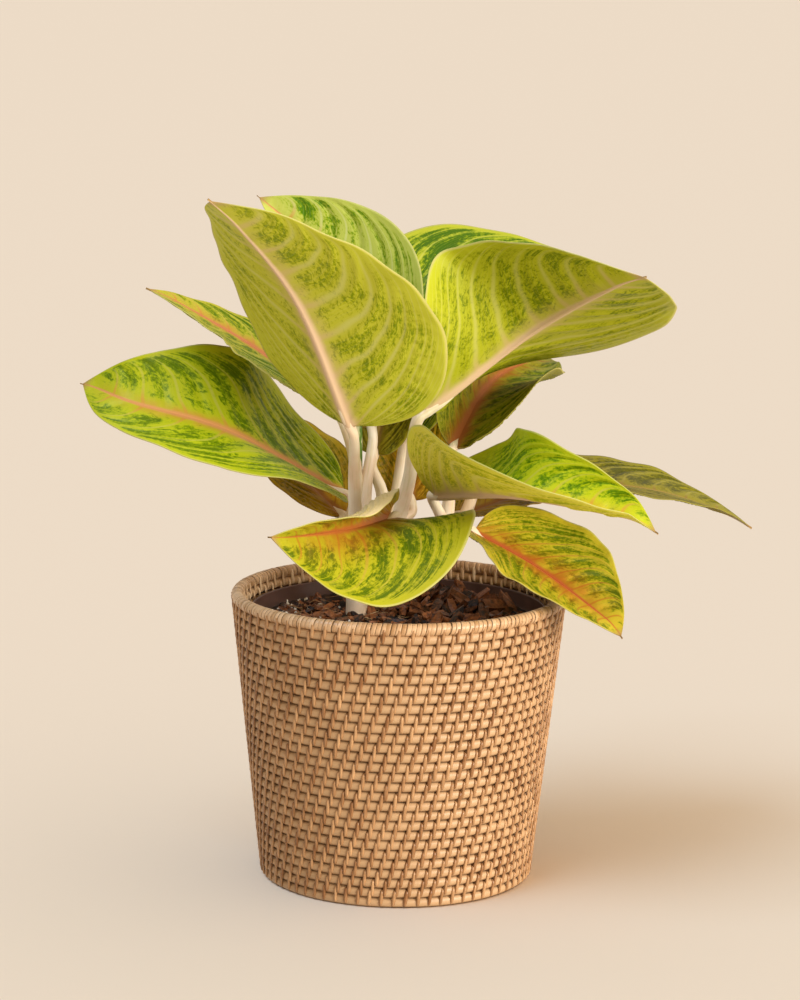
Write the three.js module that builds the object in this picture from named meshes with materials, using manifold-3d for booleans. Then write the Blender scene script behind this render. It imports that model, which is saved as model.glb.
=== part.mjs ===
// Chinese evergreen in its nursery pot, standing in a coiled rattan basket
// Millimetres, +Z up, front towards -Y, origin at the centre of the basket's foot

import * as THREE from "three";
import { mergeVertices } from "three/addons/utils/BufferGeometryUtils.js";
import Module from "manifold-3d";

const { Vector3 } = THREE;

// Basket
const BASKET_HEIGHT = 198;
const BASKET_FOOT_RADIUS = 93;
const BASKET_RIM_RADIUS = 114.5;
const BASKET_WALL = 8;
const BASKET_FLOOR = 7;
const FOOT_BEVEL = 3;
const COILS = 16;
const STRIPS = 28;
const COLUMNS_PER_STRIP = 3;
const STRIP_RELIEF = 1;
const BRICK_RELIEF = 0.1;
const STRIP_IN_GROOVE = -1.3;
const GROOVE_DEPTH = 2.4;
const RIM_COIL = 9;
const INNER_COILS = 2;

// Nursery pot
const POT_SIDES = 42;
const POT_BOTTOM = BASKET_FLOOR + 0.3;
const POT_TOP = 186;
const POT_FOOT_RADIUS = 77;
const POT_RIM_RADIUS = 101.5;
const POT_SHOULDER_RADIUS = 98.6;
const POT_BAND = 14;
const POT_WALL = 2;

// Potting mix
const MIX_SIDES = 28;
const MIX_LEVEL = 177.5;
const MIX_ROUGHNESS = 1.6;
const MIX_RINGS = 5;
const CHIPS = 24;
const CHIP_REACH = 82;
const CHIP_RISE = 1.2;
const CHIP_KEEP_CLEAR = 20;

// Stems
const CANE_BOTTOM = 150;
const CANE_SIDES = 10;
const CANE_ROWS = 6;
const PETIOLE_SIDES = 7;
const PETIOLE_ROWS = 6;
const PETIOLE_STRAIGHT = 8;

// Blades
const BLADE_ROWS = 10;
const ROW_CROWDING = 1.3;
const MARGIN_THICKNESS = 0.8;
const MIDDLE_THICKNESS = 1.4;
const RIB_HALF_WIDTH = 2.4;
const TIP_HALF_WIDTH = 0.8;
const RIB_DEPTH = 2.6;
const RIB_DEPTH_AT_TIP = 0.4;
const BLADE_END = 0.95;
const BASE_ROUNDNESS = 0.5;
const TIP_SLENDERNESS = 0.8;
const TWIST_CENTRE = 0.4;
const LOBE = 12;

const CLEARANCE = 0.3;

// Leaves: points of the midrib from base to tip, the way the upper side faces as a bearing and a
// height in degrees, the twist along the rib, and for the left and right half the greatest width,
// the fold at the rib and the curl across. "foldTip" is the fold at the tip where it differs, "roll"
// where along the rib the curl is greatest and how far it spreads, "lobe" how far the rounded base
// reaches back.
const LEAVES = {
  leaf_tall_front_left: {
    rib: [[-34, -61, 321], [-68, -113, 410], [-114, -188, 478]],
    face: [56, -20], twist: 12, half: [85, 66], fold: [13, 10], curl: [8, 5], wave: 1.6, phase: 0.1,
  },
  leaf_tall_back_left: {
    rib: [[-20, 14, 308], [-32, 42, 397], [-98, 82, 457]],
    face: [-128, 47], twist: 3, half: [26, 56], fold: [10, 16], curl: [12, 16], lobe: [0, 12],
    wave: 1.2, phase: 0.4,
  },
  leaf_tall_back_right: {
    rib: [[4, 62, 295], [32, 92, 393], [141, 117, 407]],
    face: [-70, 48], twist: -10, half: [57, 28], fold: [2, 12], curl: [0, 12], lobe: [0, 0],
    wave: 1.2, phase: 0.7,
  },
  leaf_tall_front_right: {
    rib: [[18, -34, 327], [91, -46, 386], [148, -145, 432]],
    face: [48, 72], twist: 0, half: [92, 88], fold: [8, 16], curl: [4, 13], wave: 1.8, phase: 0.3,
  },
  leaf_mid_left: {
    rib: [[-48, -14, 326], [-100.5, 33, 358], [-172, 42, 398]],
    face: [-49, 59], twist: 4, half: [52, 29], fold: [17, 4], curl: [13, 0], lobe: [0, 0],
    wave: 0.8, phase: 0.5,
  },
  leaf_low_left: {
    rib: [[-39, 44, 256], [-116, 9, 304], [-183, 12, 323], [-218, 38, 333]],
    face: [-143, 49], twist: -5, half: [46, 68], fold: [5, 13], curl: [3, 14], lobe: [2, 2],
    wave: 1, phase: 0.2,
  },
  leaf_low_back_left: {
    rib: [[-40, 50, 240], [-92, 90, 279], [-139, 126, 294]],
    face: [-60, 50], twist: 0, half: [28, 40], fold: [8, 8], curl: [10, 10], lobe: [0, 0],
    wave: 1, phase: 0.6, plain: true,
  },
  leaf_low_front: {
    rib: [[-5, -27, 253], [-32, -96, 258], [-79, -158, 263]],
    face: [-113, 18], twist: -10, half: [68, 26], fold: [-18, 45], foldTip: [-8, 75], curl: [16, 150],
    roll: [0.3, 0.4], lobe: [28, 56], wave: 1, phase: 0.1, rolled: true,
  },
  leaf_mid_right: {
    rib: [[26, -19, 267], [78, -92, 280], [167, -105, 266]],
    face: [-54, 47], twist: -5, half: [46, 63], fold: [30, 33], curl: [49, 29], wave: 1.2, phase: 0.8,
  },
  leaf_long_right: {
    rib: [[63, 44, 266], [168, 64, 259], [248, 83, 233]],
    face: [-90, 82], twist: 0, half: [53, 54], fold: [5, 8], curl: [3, 7], wave: 1.6, phase: 0.2,
  },
  leaf_low_right: {
    rib: [[50, 5, 238], [96, -17, 216], [148, -68, 186]],
    face: [-80, 83], twist: 8, half: [47, 56], fold: [16, 12], curl: [20, 11], wave: 1.2, phase: 0.5,
  },
  leaf_mid_back_right: {
    rib: [[36, 17, 294], [63, 68, 332], [103, 125, 345]],
    face: [-95, 13], twist: 0, half: [26, 62], fold: [16, 31], curl: [12, 50], lobe: [0, 12],
    wave: 1, phase: 0.9,
  },
  leaf_low_back: {
    rib: [[8, 54, 250], [4, 78, 300], [-8, 110, 345]],
    face: [-90, 20], twist: 0, half: [27, 27], fold: [10, 10], curl: [12, 12], lobe: [4, 4],
    wave: 1, phase: 0.3, plain: true,
  },
  leaf_low_back_right: {
    rib: [[42, 54, 240], [86, 86, 248], [134, 118, 238]],
    face: [-90, 75], twist: 0, half: [27, 27], fold: [10, 10], curl: [10, 10], lobe: [2, 2],
    wave: 1, phase: 0.7, plain: true,
  },
  leaf_inner_back: {
    rib: [[-18, 22, 288], [-8, 38, 333], [-2, 64, 370]],
    face: [-100, 40], twist: 0, half: [20, 22], fold: [10, 10], curl: [10, 10], lobe: [2, 2],
    wave: 0.8, phase: 0.2, plain: true,
  },
};

// Leafy stems: a cane out of the potting mix and the petioles that leave it, each up to its blade
const STEMS = {
  stem_left: {
    cane: {
      path: [[-29, 18, CANE_BOTTOM], [-29, 18, 180], [-29, 14, 208], [-31, 8, 240]],
      radii: [7.5, 7.5, 8, 8],
    },
    petioles: {
      leaf_tall_front_left: { path: [[-29, 6, 225], [-31, -20, 275]], radii: [5, 4, 3.5] },
      leaf_tall_back_left: { path: [[-26, 8, 225], [-23, 8, 270]], radii: [5, 4, 3.5] },
      leaf_mid_left: { path: [[-30, 8, 225], [-31, 4, 285]], radii: [5, 4, 3.5] },
      leaf_low_left: { path: [[-31, 16, 220], [-34, 28, 240]], radii: [5, 4, 3.5] },
      leaf_low_back_left: { path: [[-30, 18, 208], [-34, 32, 226]], radii: [5, 4, 3.5] },
    },
  },
  stem_middle: {
    cane: {
      path: [[-10, 40, CANE_BOTTOM], [-10, 40, 180], [-9, 36, 208], [-6, 30, 235]],
      radii: [7, 7, 7.5, 7.5],
    },
    petioles: {
      leaf_tall_back_right: { path: [[-6, 34, 225], [-1, 48, 265]], radii: [5, 4, 3.5] },
      leaf_tall_front_right: { path: [[-6, 26, 225], [6, -2, 275]], radii: [5.5, 4.5, 4] },
      leaf_low_front: { path: [[-8, 30, 208], [-6, 4, 235]], radii: [5, 4, 3.5] },
      leaf_low_back: { path: [[-5, 36, 218], [1, 46, 237]], radii: [5, 4, 3.5] },
      leaf_inner_back: { path: [[-8, 30, 225], [-13, 27, 262]], radii: [5, 4, 3.5] },
    },
  },
  stem_right: {
    cane: {
      path: [[16, 62, CANE_BOTTOM], [16, 62, 180], [24, 50, 205], [32, 36, 228]],
      radii: [7, 7, 7.5, 7.5],
    },
    petioles: {
      leaf_mid_right: { path: [[30, 38, 220], [29, 10, 245]], radii: [5, 4, 3.5] },
      leaf_long_right: { path: [[31, 38, 220], [46, 40, 245]], radii: [5, 4, 3.5] },
      leaf_low_right: { path: [[27, 44, 210], [40, 24, 228]], radii: [5, 4, 3.5] },
      leaf_mid_back_right: { path: [[31, 37, 220], [34, 28, 262]], radii: [5, 4, 3.5] },
      leaf_low_back_right: { path: [[28, 42, 215], [35, 48, 230]], radii: [5, 4, 3.5] },
    },
  },
};

// Young leaf, still rolled up, standing in the crown of the left stem
const YOUNG_LEAF = {
  path: [[-28, 17, 238], [-29, 15, 258], [-29.3, 12, 282], [-29.2, 9, 306], [-29, 6, 326]],
  radii: [3.2, 3.6, 3.6, 2.8, 0.8],
};

const COLOURS = {
  basket: "#c4986a",
  nursery_pot: "#3b2929",
  potting_mix: "#47301f",
  stem_left: "#ead9bf",
  stem_middle: "#ead9bf",
  stem_right: "#e6cfb4",
  new_leaf_rolled: "#a9b976",
  leaf_tall_front_left: "#b4b55c",
  leaf_tall_back_left: "#93b23a",
  leaf_tall_back_right: "#5f8527",
  leaf_tall_front_right: "#b2b65e",
  leaf_mid_left: "#a6a83c",
  leaf_low_left: "#7fa51e",
  leaf_low_back_left: "#93762c",
  leaf_low_front: "#9aa53a",
  leaf_mid_right: "#8fb32a",
  leaf_long_right: "#88954a",
  leaf_low_right: "#a8a23c",
  leaf_mid_back_right: "#878a32",
  leaf_low_back: "#a0622e",
  leaf_low_back_right: "#806c36",
  leaf_inner_back: "#8a7f3a",
};

const ROUGHNESS = {
  basket: 0.62,
  nursery_pot: 0.45,
  potting_mix: 0.95,
  leaf: 0.38,
  stem: 0.5,
};

const wasm = await Module();
wasm.setup();

const radians = THREE.MathUtils.degToRad;
const mix = THREE.MathUtils.lerp;
const clamp01 = (x) => Math.min(1, Math.max(0, x));
const vectors = (list) => list.map((p) => new Vector3(...p));

// Repeatable random numbers from 0 to 1
function seeded(seed) {
  let state = seed >>> 0;
  return () => {
    state = (state + 0x6d2b79f5) >>> 0;
    let t = state;
    t = Math.imul(t ^ (t >>> 15), t | 1);
    t ^= t + Math.imul(t ^ (t >>> 7), t | 61);
    return ((t ^ (t >>> 14)) >>> 0) / 4294967296;
  };
}

function geometryOf(points, faces) {
  const geometry = new THREE.BufferGeometry();
  const flat = points.flatMap((p) => [p.x, p.y, p.z]);
  geometry.setAttribute("position", new THREE.Float32BufferAttribute(flat, 3));
  geometry.setIndex(faces.flat());
  return geometry;
}

function manifoldOf(geometry) {
  const plain = geometry.clone();
  plain.deleteAttribute("normal");
  plain.deleteAttribute("uv");
  const merged = mergeVertices(plain, 1e-4);
  const mesh = new wasm.Mesh({
    numProp: 3,
    vertProperties: merged.attributes.position.array,
    triVerts: new Uint32Array(merged.index.array),
  });
  return new wasm.Manifold(mesh);
}

function geometryFrom(manifold) {
  const mesh = manifold.getMesh();
  const points = [];
  for (let i = 0; i < mesh.numVert; i++) {
    points.push(new Vector3(...mesh.vertProperties.subarray(i * mesh.numProp, i * mesh.numProp + 3)));
  }
  return geometryOf(points, [Array.from(mesh.triVerts)]);
}

// Solid of rings about the Z axis: a point on the axis, rings of [radius, height] by column in
// order outwards, up and back in, and a last point on the axis
function turned(firstHeight, rings, lastHeight, columns) {
  const points = [new Vector3(0, 0, firstHeight)];
  for (const ring of rings) {
    for (let c = 0; c < columns; c++) {
      const [radius, height] = ring(c);
      const angle = (c / columns) * 2 * Math.PI;
      points.push(new Vector3(radius * Math.cos(angle), radius * Math.sin(angle), height));
    }
  }
  points.push(new Vector3(0, 0, lastHeight));
  const last = points.length - 1;
  const at = (r, c) => 1 + r * columns + (c % columns);
  const faces = [];
  for (let c = 0; c < columns; c++) {
    faces.push([0, at(0, c + 1), at(0, c)]);
    faces.push([last, at(rings.length - 1, c), at(rings.length - 1, c + 1)]);
    for (let r = 0; r + 1 < rings.length; r++) {
      faces.push([at(r, c), at(r, c + 1), at(r + 1, c + 1)]);
      faces.push([at(r, c), at(r + 1, c + 1), at(r + 1, c)]);
    }
  }
  return geometryOf(points, faces);
}

// Round bar with closed ends along a smooth path, its radius given at equal steps
function bar(path, radii, sides, rows, grow = 0) {
  const curve = new THREE.CatmullRomCurve3(path, false, "centripetal");
  const points = [];
  const first = curve.getTangent(0);
  let side = new Vector3(1, 0, 0).addScaledVector(first, -first.x).normalize();
  for (let r = 0; r <= rows; r++) {
    const t = r / rows;
    const centre = curve.getPoint(t);
    const along = curve.getTangent(t);
    side = side.addScaledVector(along, -side.dot(along)).normalize();
    const other = new Vector3().crossVectors(along, side);
    const place = t * (radii.length - 1);
    const k = Math.min(Math.floor(place), radii.length - 2);
    const radius = mix(radii[k], radii[k + 1], place - k) + grow;
    for (let c = 0; c < sides; c++) {
      const angle = (c / sides) * 2 * Math.PI;
      const point = centre.clone().addScaledVector(side, radius * Math.cos(angle));
      points.push(point.addScaledVector(other, radius * Math.sin(angle)));
    }
  }
  const at = (r, c) => r * sides + (c % sides);
  const faces = [];
  for (let c = 0; c < sides; c++) {
    for (let r = 0; r < rows; r++) {
      faces.push([at(r, c), at(r, c + 1), at(r + 1, c + 1)]);
      faces.push([at(r, c), at(r + 1, c + 1), at(r + 1, c)]);
    }
    if (c > 0 && c + 1 < sides) {
      faces.push([at(0, 0), at(0, c + 1), at(0, c)]);
      faces.push([at(rows, 0), at(rows, c), at(rows, c + 1)]);
    }
  }
  return geometryOf(points, faces);
}

// Basket: coils wrapped by strips that each cross two coils, every coil's strips one column on
const basketRadius = (z) => mix(BASKET_FOOT_RADIUS, BASKET_RIM_RADIUS, z / BASKET_HEIGHT);

function basketGeometry() {
  const columns = STRIPS * COLUMNS_PER_STRIP;
  const coilTop = BASKET_HEIGHT - RIM_COIL;
  const pitch = (coilTop - FOOT_BEVEL) / COILS;
  const kind = (column, coil) => (column + coil) % COLUMNS_PER_STRIP;
  const crest = (column, coil) => (kind(column, coil) === 2 ? BRICK_RELIEF : STRIP_RELIEF);
  const groove = (column, coil) => (kind(column, coil) === 0 ? STRIP_IN_GROOVE : -GROOVE_DEPTH);
  const rings = [() => [BASKET_FOOT_RADIUS - FOOT_BEVEL, 0]];
  for (let k = 0; k < COILS; k++) {
    const coil = COILS + 1 - k;
    const low = FOOT_BEVEL + k * pitch;
    const middle = low + pitch / 2;
    rings.push((c) => [basketRadius(low) + (k ? groove(c, coil) : -1), low]);
    rings.push((c) => [basketRadius(middle) + crest(c, coil), middle]);
  }
  const wrap = (c) => (c % 2 ? 0.4 : 0);
  rings.push(() => [basketRadius(coilTop) - GROOVE_DEPTH, coilTop]);
  rings.push((c) => [basketRadius(coilTop) + 1 + wrap(c), coilTop + RIM_COIL * 0.45]);
  rings.push((c) => [BASKET_RIM_RADIUS - 2.2 + wrap(c) / 2, BASKET_HEIGHT]);
  rings.push((c) => [BASKET_RIM_RADIUS - BASKET_WALL + 2 - wrap(c) / 2, BASKET_HEIGHT]);
  rings.push((c) => [basketRadius(coilTop) - BASKET_WALL - 0.4 - wrap(c), coilTop + RIM_COIL * 0.45]);
  const inside = (z) => basketRadius(z) - BASKET_WALL;
  for (let k = 0; k < INNER_COILS; k++) {
    const high = coilTop - k * pitch;
    const middle = high - pitch / 2;
    rings.push(() => [inside(high) + GROOVE_DEPTH, high]);
    rings.push((c) => [inside(middle) - crest(c, k), middle]);
  }
  const plainTop = coilTop - INNER_COILS * pitch;
  rings.push(() => [inside(plainTop), plainTop]);
  rings.push(() => [inside(BASKET_FLOOR), BASKET_FLOOR]);
  return turned(0, rings, BASKET_FLOOR, columns);
}

// Nursery pot: a thin tapered tub with a wider band at its rim
const potOuter = (z) =>
  mix(POT_FOOT_RADIUS, POT_SHOULDER_RADIUS, (z - POT_BOTTOM) / (POT_TOP - POT_BAND - POT_BOTTOM));

const potInner = (z) => potOuter(Math.min(z, POT_TOP - POT_BAND)) - POT_WALL;

function potGeometry() {
  const shoulder = POT_TOP - POT_BAND;
  const bandInner = POT_RIM_RADIUS - POT_WALL;
  const floor = POT_BOTTOM + POT_WALL;
  const outline = [
    [POT_FOOT_RADIUS - 2, POT_BOTTOM],
    [POT_FOOT_RADIUS, POT_BOTTOM + 2],
    [POT_SHOULDER_RADIUS, shoulder],
    [POT_RIM_RADIUS - 0.6, shoulder + 1],
    [POT_RIM_RADIUS, POT_TOP],
    [bandInner + 0.4, POT_TOP],
    [bandInner - 0.8, shoulder + 3],
    [potInner(shoulder), shoulder],
    [potInner(floor), floor],
  ];
  return turned(POT_BOTTOM, outline.map((p) => () => p), floor, POT_SIDES);
}

// Path of a petiole: from inside the cane to just short of the blade, square to the blade's base
function petiolePath(leafName, start) {
  const { base, along } = bladeBase(LEAVES[leafName]);
  return [
    ...vectors(start),
    base.clone().addScaledVector(along, -PETIOLE_STRAIGHT),
    base.clone().addScaledVector(along, -CLEARANCE),
  ];
}

function youngLeaf(grow) {
  return bar(vectors(YOUNG_LEAF.path), YOUNG_LEAF.radii, PETIOLE_SIDES, PETIOLE_ROWS, grow);
}

// Leafy stem: the cane and its petioles grown together
function stemManifold({ cane, petioles }) {
  let stem = manifoldOf(bar(vectors(cane.path), cane.radii, CANE_SIDES, CANE_ROWS));
  for (const [leafName, { path, radii }] of Object.entries(petioles)) {
    const petiole = bar(petiolePath(leafName, path), radii, PETIOLE_SIDES, PETIOLE_ROWS);
    stem = stem.add(manifoldOf(petiole));
  }
  return stem;
}

// Potting mix: fills the pot, with bark chips lying sunk in it and a plain hole for each cane
function mixManifold() {
  const random = seeded(41);
  const wall = (z) => potInner(z) - CLEARANCE;
  const bottom = POT_BOTTOM + POT_WALL + CLEARANCE;
  const edge = POT_TOP - POT_BAND;
  const rings = [() => [wall(bottom), bottom], () => [wall(edge), edge]];
  for (let r = 0; r < MIX_RINGS; r++) {
    const reach = r === 0 ? wall(edge) - 0.6 : wall(edge) * (1 - r / MIX_RINGS);
    const heights = Array.from({ length: MIX_SIDES }, () => MIX_LEVEL + MIX_ROUGHNESS * (random() * 2 - 1));
    rings.push((c) => [reach, r === 0 ? MIX_LEVEL - 2 : heights[c]]);
  }
  let soil = manifoldOf(turned(bottom, rings, MIX_LEVEL, MIX_SIDES));
  const canes = Object.values(STEMS).map(({ cane }) => cane);
  let placed = 0;
  while (placed < CHIPS) {
    const bearing = random() * 2 * Math.PI;
    const reach = CHIP_REACH * Math.sqrt(random());
    const height = MIX_LEVEL + CHIP_RISE * random();
    const centre = new Vector3(reach * Math.cos(bearing), reach * Math.sin(bearing), height);
    const chip = chipGeometry(random);
    const near = canes.some(({ path: [[x, y]] }) => Math.hypot(centre.x - x, centre.y - y) < CHIP_KEEP_CLEAR);
    if (near) continue;
    chip.translate(centre.x, centre.y, centre.z);
    soil = soil.add(manifoldOf(chip));
    placed += 1;
  }
  for (const { path, radii } of canes) {
    const hole = vectors(path);
    hole[0].z -= CLEARANCE;
    soil = soil.subtract(manifoldOf(bar(hole, radii, CANE_SIDES, CANE_ROWS, CLEARANCE)));
  }
  return soil;
}

// Chip of bark: a split slab, no two corners alike, tilted any way
function chipGeometry(random) {
  const chip = new THREE.BoxGeometry(mix(9, 19, random()), mix(5, 9, random()), mix(3.5, 6, random()));
  chip.deleteAttribute("normal");
  chip.deleteAttribute("uv");
  const welded = mergeVertices(chip, 1e-4);
  const position = welded.attributes.position;
  for (let i = 0; i < position.count; i++) {
    position.setX(i, position.getX(i) * mix(0.8, 1.1, random()));
    position.setY(i, position.getY(i) * mix(0.7, 1.1, random()));
  }
  welded.rotateX(mix(-0.45, 0.45, random()));
  welded.rotateY(mix(-0.35, 0.35, random()));
  welded.rotateZ(random() * Math.PI);
  return welded;
}

// Half width of a blade along its rib, 1 at the widest: rounded base, slender tip
function outline(u) {
  const t = clamp01(u / BLADE_END);
  const widest = BASE_ROUNDNESS / (BASE_ROUNDNESS + TIP_SLENDERNESS);
  const peak = widest ** BASE_ROUNDNESS * (1 - widest) ** TIP_SLENDERNESS;
  return (t ** BASE_ROUNDNESS * (1 - t) ** TIP_SLENDERNESS) / peak;
}

function ribCurve(leaf) {
  return new THREE.CatmullRomCurve3(vectors(leaf.rib), false, "catmullrom", 0.5);
}

function bladeBase(leaf) {
  const along = ribCurve(leaf).getTangent(0);
  return { base: new Vector3(...leaf.rib[0]), along };
}

// Columns of a blade from the left margin to the right, as shares of the way from rib to margin
function bladeColumns(leaf) {
  if (leaf.plain) return [-1, -0.5, 0, 0.5, 1].flatMap(splitRib);
  if (leaf.rolled) return [-1, -0.6, -0.25, 0, 0.13, 0.26, 0.4, 0.55, 0.7, 0.85, 1].flatMap(splitRib);
  return [-1, -0.72, -0.36, 0, 0.36, 0.72, 1].flatMap(splitRib);
}

// The rib takes three columns: its two sides and its crest
function splitRib(share) {
  if (share === 0) return [-1, 0, 1].map((side) => ({ side, share }));
  return [{ side: Math.sign(share), share: Math.abs(share) }];
}

// Blade: rows square to the rib, each half folded at the rib, curled across and waved at its margin
function bladeGeometry(leaf) {
  const curve = ribCurve(leaf);
  const lobe = leaf.lobe ?? [LOBE, LOBE];
  const facing = new Vector3().setFromSphericalCoords(1, radians(90 - leaf.face[1]), radians(leaf.face[0]));
  facing.set(facing.z, facing.x, facing.y);
  const columns = bladeColumns(leaf);
  const upper = [];
  const lower = [];
  for (let row = 0; row <= BLADE_ROWS; row++) {
    const u = (row / BLADE_ROWS) ** ROW_CROWDING;
    const middle = curve.getPointAt(u);
    const along = curve.getTangentAt(u);
    const normal = facing.clone().addScaledVector(along, -facing.dot(along)).normalize();
    normal.applyAxisAngle(along, radians(leaf.twist) * (u - TWIST_CENTRE));
    const across = new Vector3().crossVectors(along, normal);
    const ribHalf = RIB_HALF_WIDTH * (1 - u) + TIP_HALF_WIDTH;
    for (const { side, share } of columns) {
      const k = side > 0 ? 1 : 0;
      const width = leaf.half[k] * outline(u) + ribHalf;
      const ribShare = (0.8 * ribHalf) / width;
      const a = side === 0 ? 0 : mix(ribShare, 1, share);
      const fold = radians(mix(leaf.fold[k], (leaf.foldTip ?? leaf.fold)[k], u));
      const rolling = leaf.roll ? Math.exp(-(((u - leaf.roll[0]) / leaf.roll[1]) ** 2)) : 1;
      const fading = clamp01(3 * outline(u)) * rolling;
      const curl = radians(leaf.curl[k]) * fading || 1e-3;
      const bend = fold + curl * a;
      const out = (width * (Math.sin(bend) - Math.sin(fold))) / curl;
      const lift = (width * (Math.cos(fold) - Math.cos(bend))) / curl;
      const ripple = Math.sin(2 * Math.PI * (2 * u + 0.35 * side + leaf.phase));
      const wave = leaf.wave * ripple * a * a * Math.sin(Math.PI * u);
      const back = lobe[k] * outline(u) * a * a * (1 - u) ** 3;
      const point = middle.clone().addScaledVector(across, side * out);
      point.addScaledVector(normal, lift + wave).addScaledVector(along, -back);
      const skin = normal.clone();
      if (side !== 0) skin.multiplyScalar(Math.cos(bend)).addScaledVector(across, -side * Math.sin(bend));
      const half = mix(MIDDLE_THICKNESS, MARGIN_THICKNESS, a) / 2;
      const rib = side === 0 ? RIB_DEPTH * (1 - u) + RIB_DEPTH_AT_TIP : 0;
      upper.push(point.clone().addScaledVector(skin, half));
      lower.push(point.clone().addScaledVector(skin, -half - rib));
    }
  }
  return closedBlade(upper, lower, columns.length);
}

// Joins the two faces of a blade along its margins, base and tip; both faces split alike
function closedBlade(upper, lower, columns) {
  const rows = upper.length / columns - 1;
  const top = (r, c) => r * columns + c;
  const under = (r, c) => upper.length + top(r, c);
  const end = columns - 1;
  const faces = [];
  for (let r = 0; r < rows; r++) {
    for (let c = 0; c < end; c++) {
      faces.push([top(r, c), top(r, c + 1), top(r + 1, c + 1)]);
      faces.push([top(r, c), top(r + 1, c + 1), top(r + 1, c)]);
      faces.push([under(r, c), under(r + 1, c + 1), under(r, c + 1)]);
      faces.push([under(r, c), under(r + 1, c), under(r + 1, c + 1)]);
    }
    faces.push([top(r, 0), top(r + 1, 0), under(r + 1, 0)]);
    faces.push([top(r, 0), under(r + 1, 0), under(r, 0)]);
    faces.push([top(r, end), under(r + 1, end), top(r + 1, end)]);
    faces.push([top(r, end), under(r, end), under(r + 1, end)]);
  }
  for (let c = 0; c < end; c++) {
    faces.push([top(0, c), under(0, c), under(0, c + 1)]);
    faces.push([top(0, c), under(0, c + 1), top(0, c + 1)]);
    faces.push([top(rows, c), under(rows, c + 1), under(rows, c)]);
    faces.push([top(rows, c), top(rows, c + 1), under(rows, c + 1)]);
  }
  return geometryOf([...upper, ...lower], faces);
}

const plant = new THREE.Group();
plant.name = "potted_chinese_evergreen";

function addPart(name, geometry, kind) {
  const shade = { color: COLOURS[name], roughness: ROUGHNESS[kind], metalness: 0 };
  const mesh = new THREE.Mesh(geometry, new THREE.MeshStandardMaterial(shade));
  mesh.name = name;
  plant.add(mesh);
}

addPart("basket", basketGeometry(), "basket");
addPart("nursery_pot", potGeometry(), "nursery_pot");
addPart("potting_mix", geometryFrom(mixManifold()), "potting_mix");
const youngLeafSocket = manifoldOf(youngLeaf(CLEARANCE));
for (const [name, parts] of Object.entries(STEMS)) {
  let stem = stemManifold(parts);
  if (name === "stem_left") stem = stem.subtract(youngLeafSocket);
  addPart(name, geometryFrom(stem), "stem");
}
addPart("new_leaf_rolled", youngLeaf(0), "leaf");
for (const [name, leaf] of Object.entries(LEAVES)) {
  addPart(name, bladeGeometry(leaf), "leaf");
}

export default plant;
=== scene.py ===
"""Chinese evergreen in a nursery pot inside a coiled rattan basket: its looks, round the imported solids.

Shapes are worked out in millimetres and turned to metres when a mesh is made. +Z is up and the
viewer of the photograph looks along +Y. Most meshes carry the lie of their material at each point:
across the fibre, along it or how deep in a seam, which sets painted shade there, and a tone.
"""
from functools import partial
import math

import bpy
import numpy as np
from mathutils import Matrix


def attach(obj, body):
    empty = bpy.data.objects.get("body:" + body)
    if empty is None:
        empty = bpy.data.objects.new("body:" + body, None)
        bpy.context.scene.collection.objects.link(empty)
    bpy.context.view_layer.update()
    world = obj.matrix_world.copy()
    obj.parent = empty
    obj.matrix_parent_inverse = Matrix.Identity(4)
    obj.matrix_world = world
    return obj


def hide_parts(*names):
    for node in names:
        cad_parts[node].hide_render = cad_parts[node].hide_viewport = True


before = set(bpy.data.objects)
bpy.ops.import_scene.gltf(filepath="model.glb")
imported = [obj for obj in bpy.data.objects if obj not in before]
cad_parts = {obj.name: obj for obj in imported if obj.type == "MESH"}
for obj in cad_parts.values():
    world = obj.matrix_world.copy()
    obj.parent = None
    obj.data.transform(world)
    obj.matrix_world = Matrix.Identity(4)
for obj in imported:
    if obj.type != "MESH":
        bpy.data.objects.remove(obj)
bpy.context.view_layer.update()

MM = 0.001

# Basket
BASKET_HEIGHT = 198.0
FOOT_RADIUS = 93.0
RIM_RADIUS = 114.5
COIL_ROWS = 29
COIL_RADIUS = 3.6
FOOT_ROW = 3.5
STRIPS = 72
STRIP_HALF_WIDTH = 1.3
STRIP_SHIFT = 0.3
RIM_WRAPS_PER_STRIP = 3
INNER_ROWS = 5
CANE_INSET = 3.7
PITCH = (BASKET_HEIGHT - 3.8 - FOOT_ROW) / (COIL_ROWS - 1)
TOP_ROW = FOOT_ROW + PITCH * (COIL_ROWS - 1)
BOTTOM_COILS = 12
BOTTOM_CANE = 3.5
BOTTOM_LEVEL = 4.4

# Nursery pot and potting mix
POT_BOTTOM = 7.3
POT_TOP = 186.0
POT_FOOT_RADIUS = 77.0
POT_RIM_RADIUS = 101.5
POT_SHOULDER_RADIUS = 98.6
POT_BAND = 14.0
POT_WALL = 2.0
LIP_RADIUS = 0.9
MIX_LEVEL = 177.5

# Blades
RIB_HALF_WIDTH = 2.4
TIP_HALF_WIDTH = 0.8
RIB_DEPTH = 2.6
RIB_DEPTH_AT_TIP = 0.4
BLADE_END = 0.99
BASE_ROUNDNESS = 0.5
TIP_SLENDERNESS = 0.9
TWIST_CENTRE = 0.4
VEIN_PAIRS = 7.4
VEIN_RELIEF = 1.25

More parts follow.
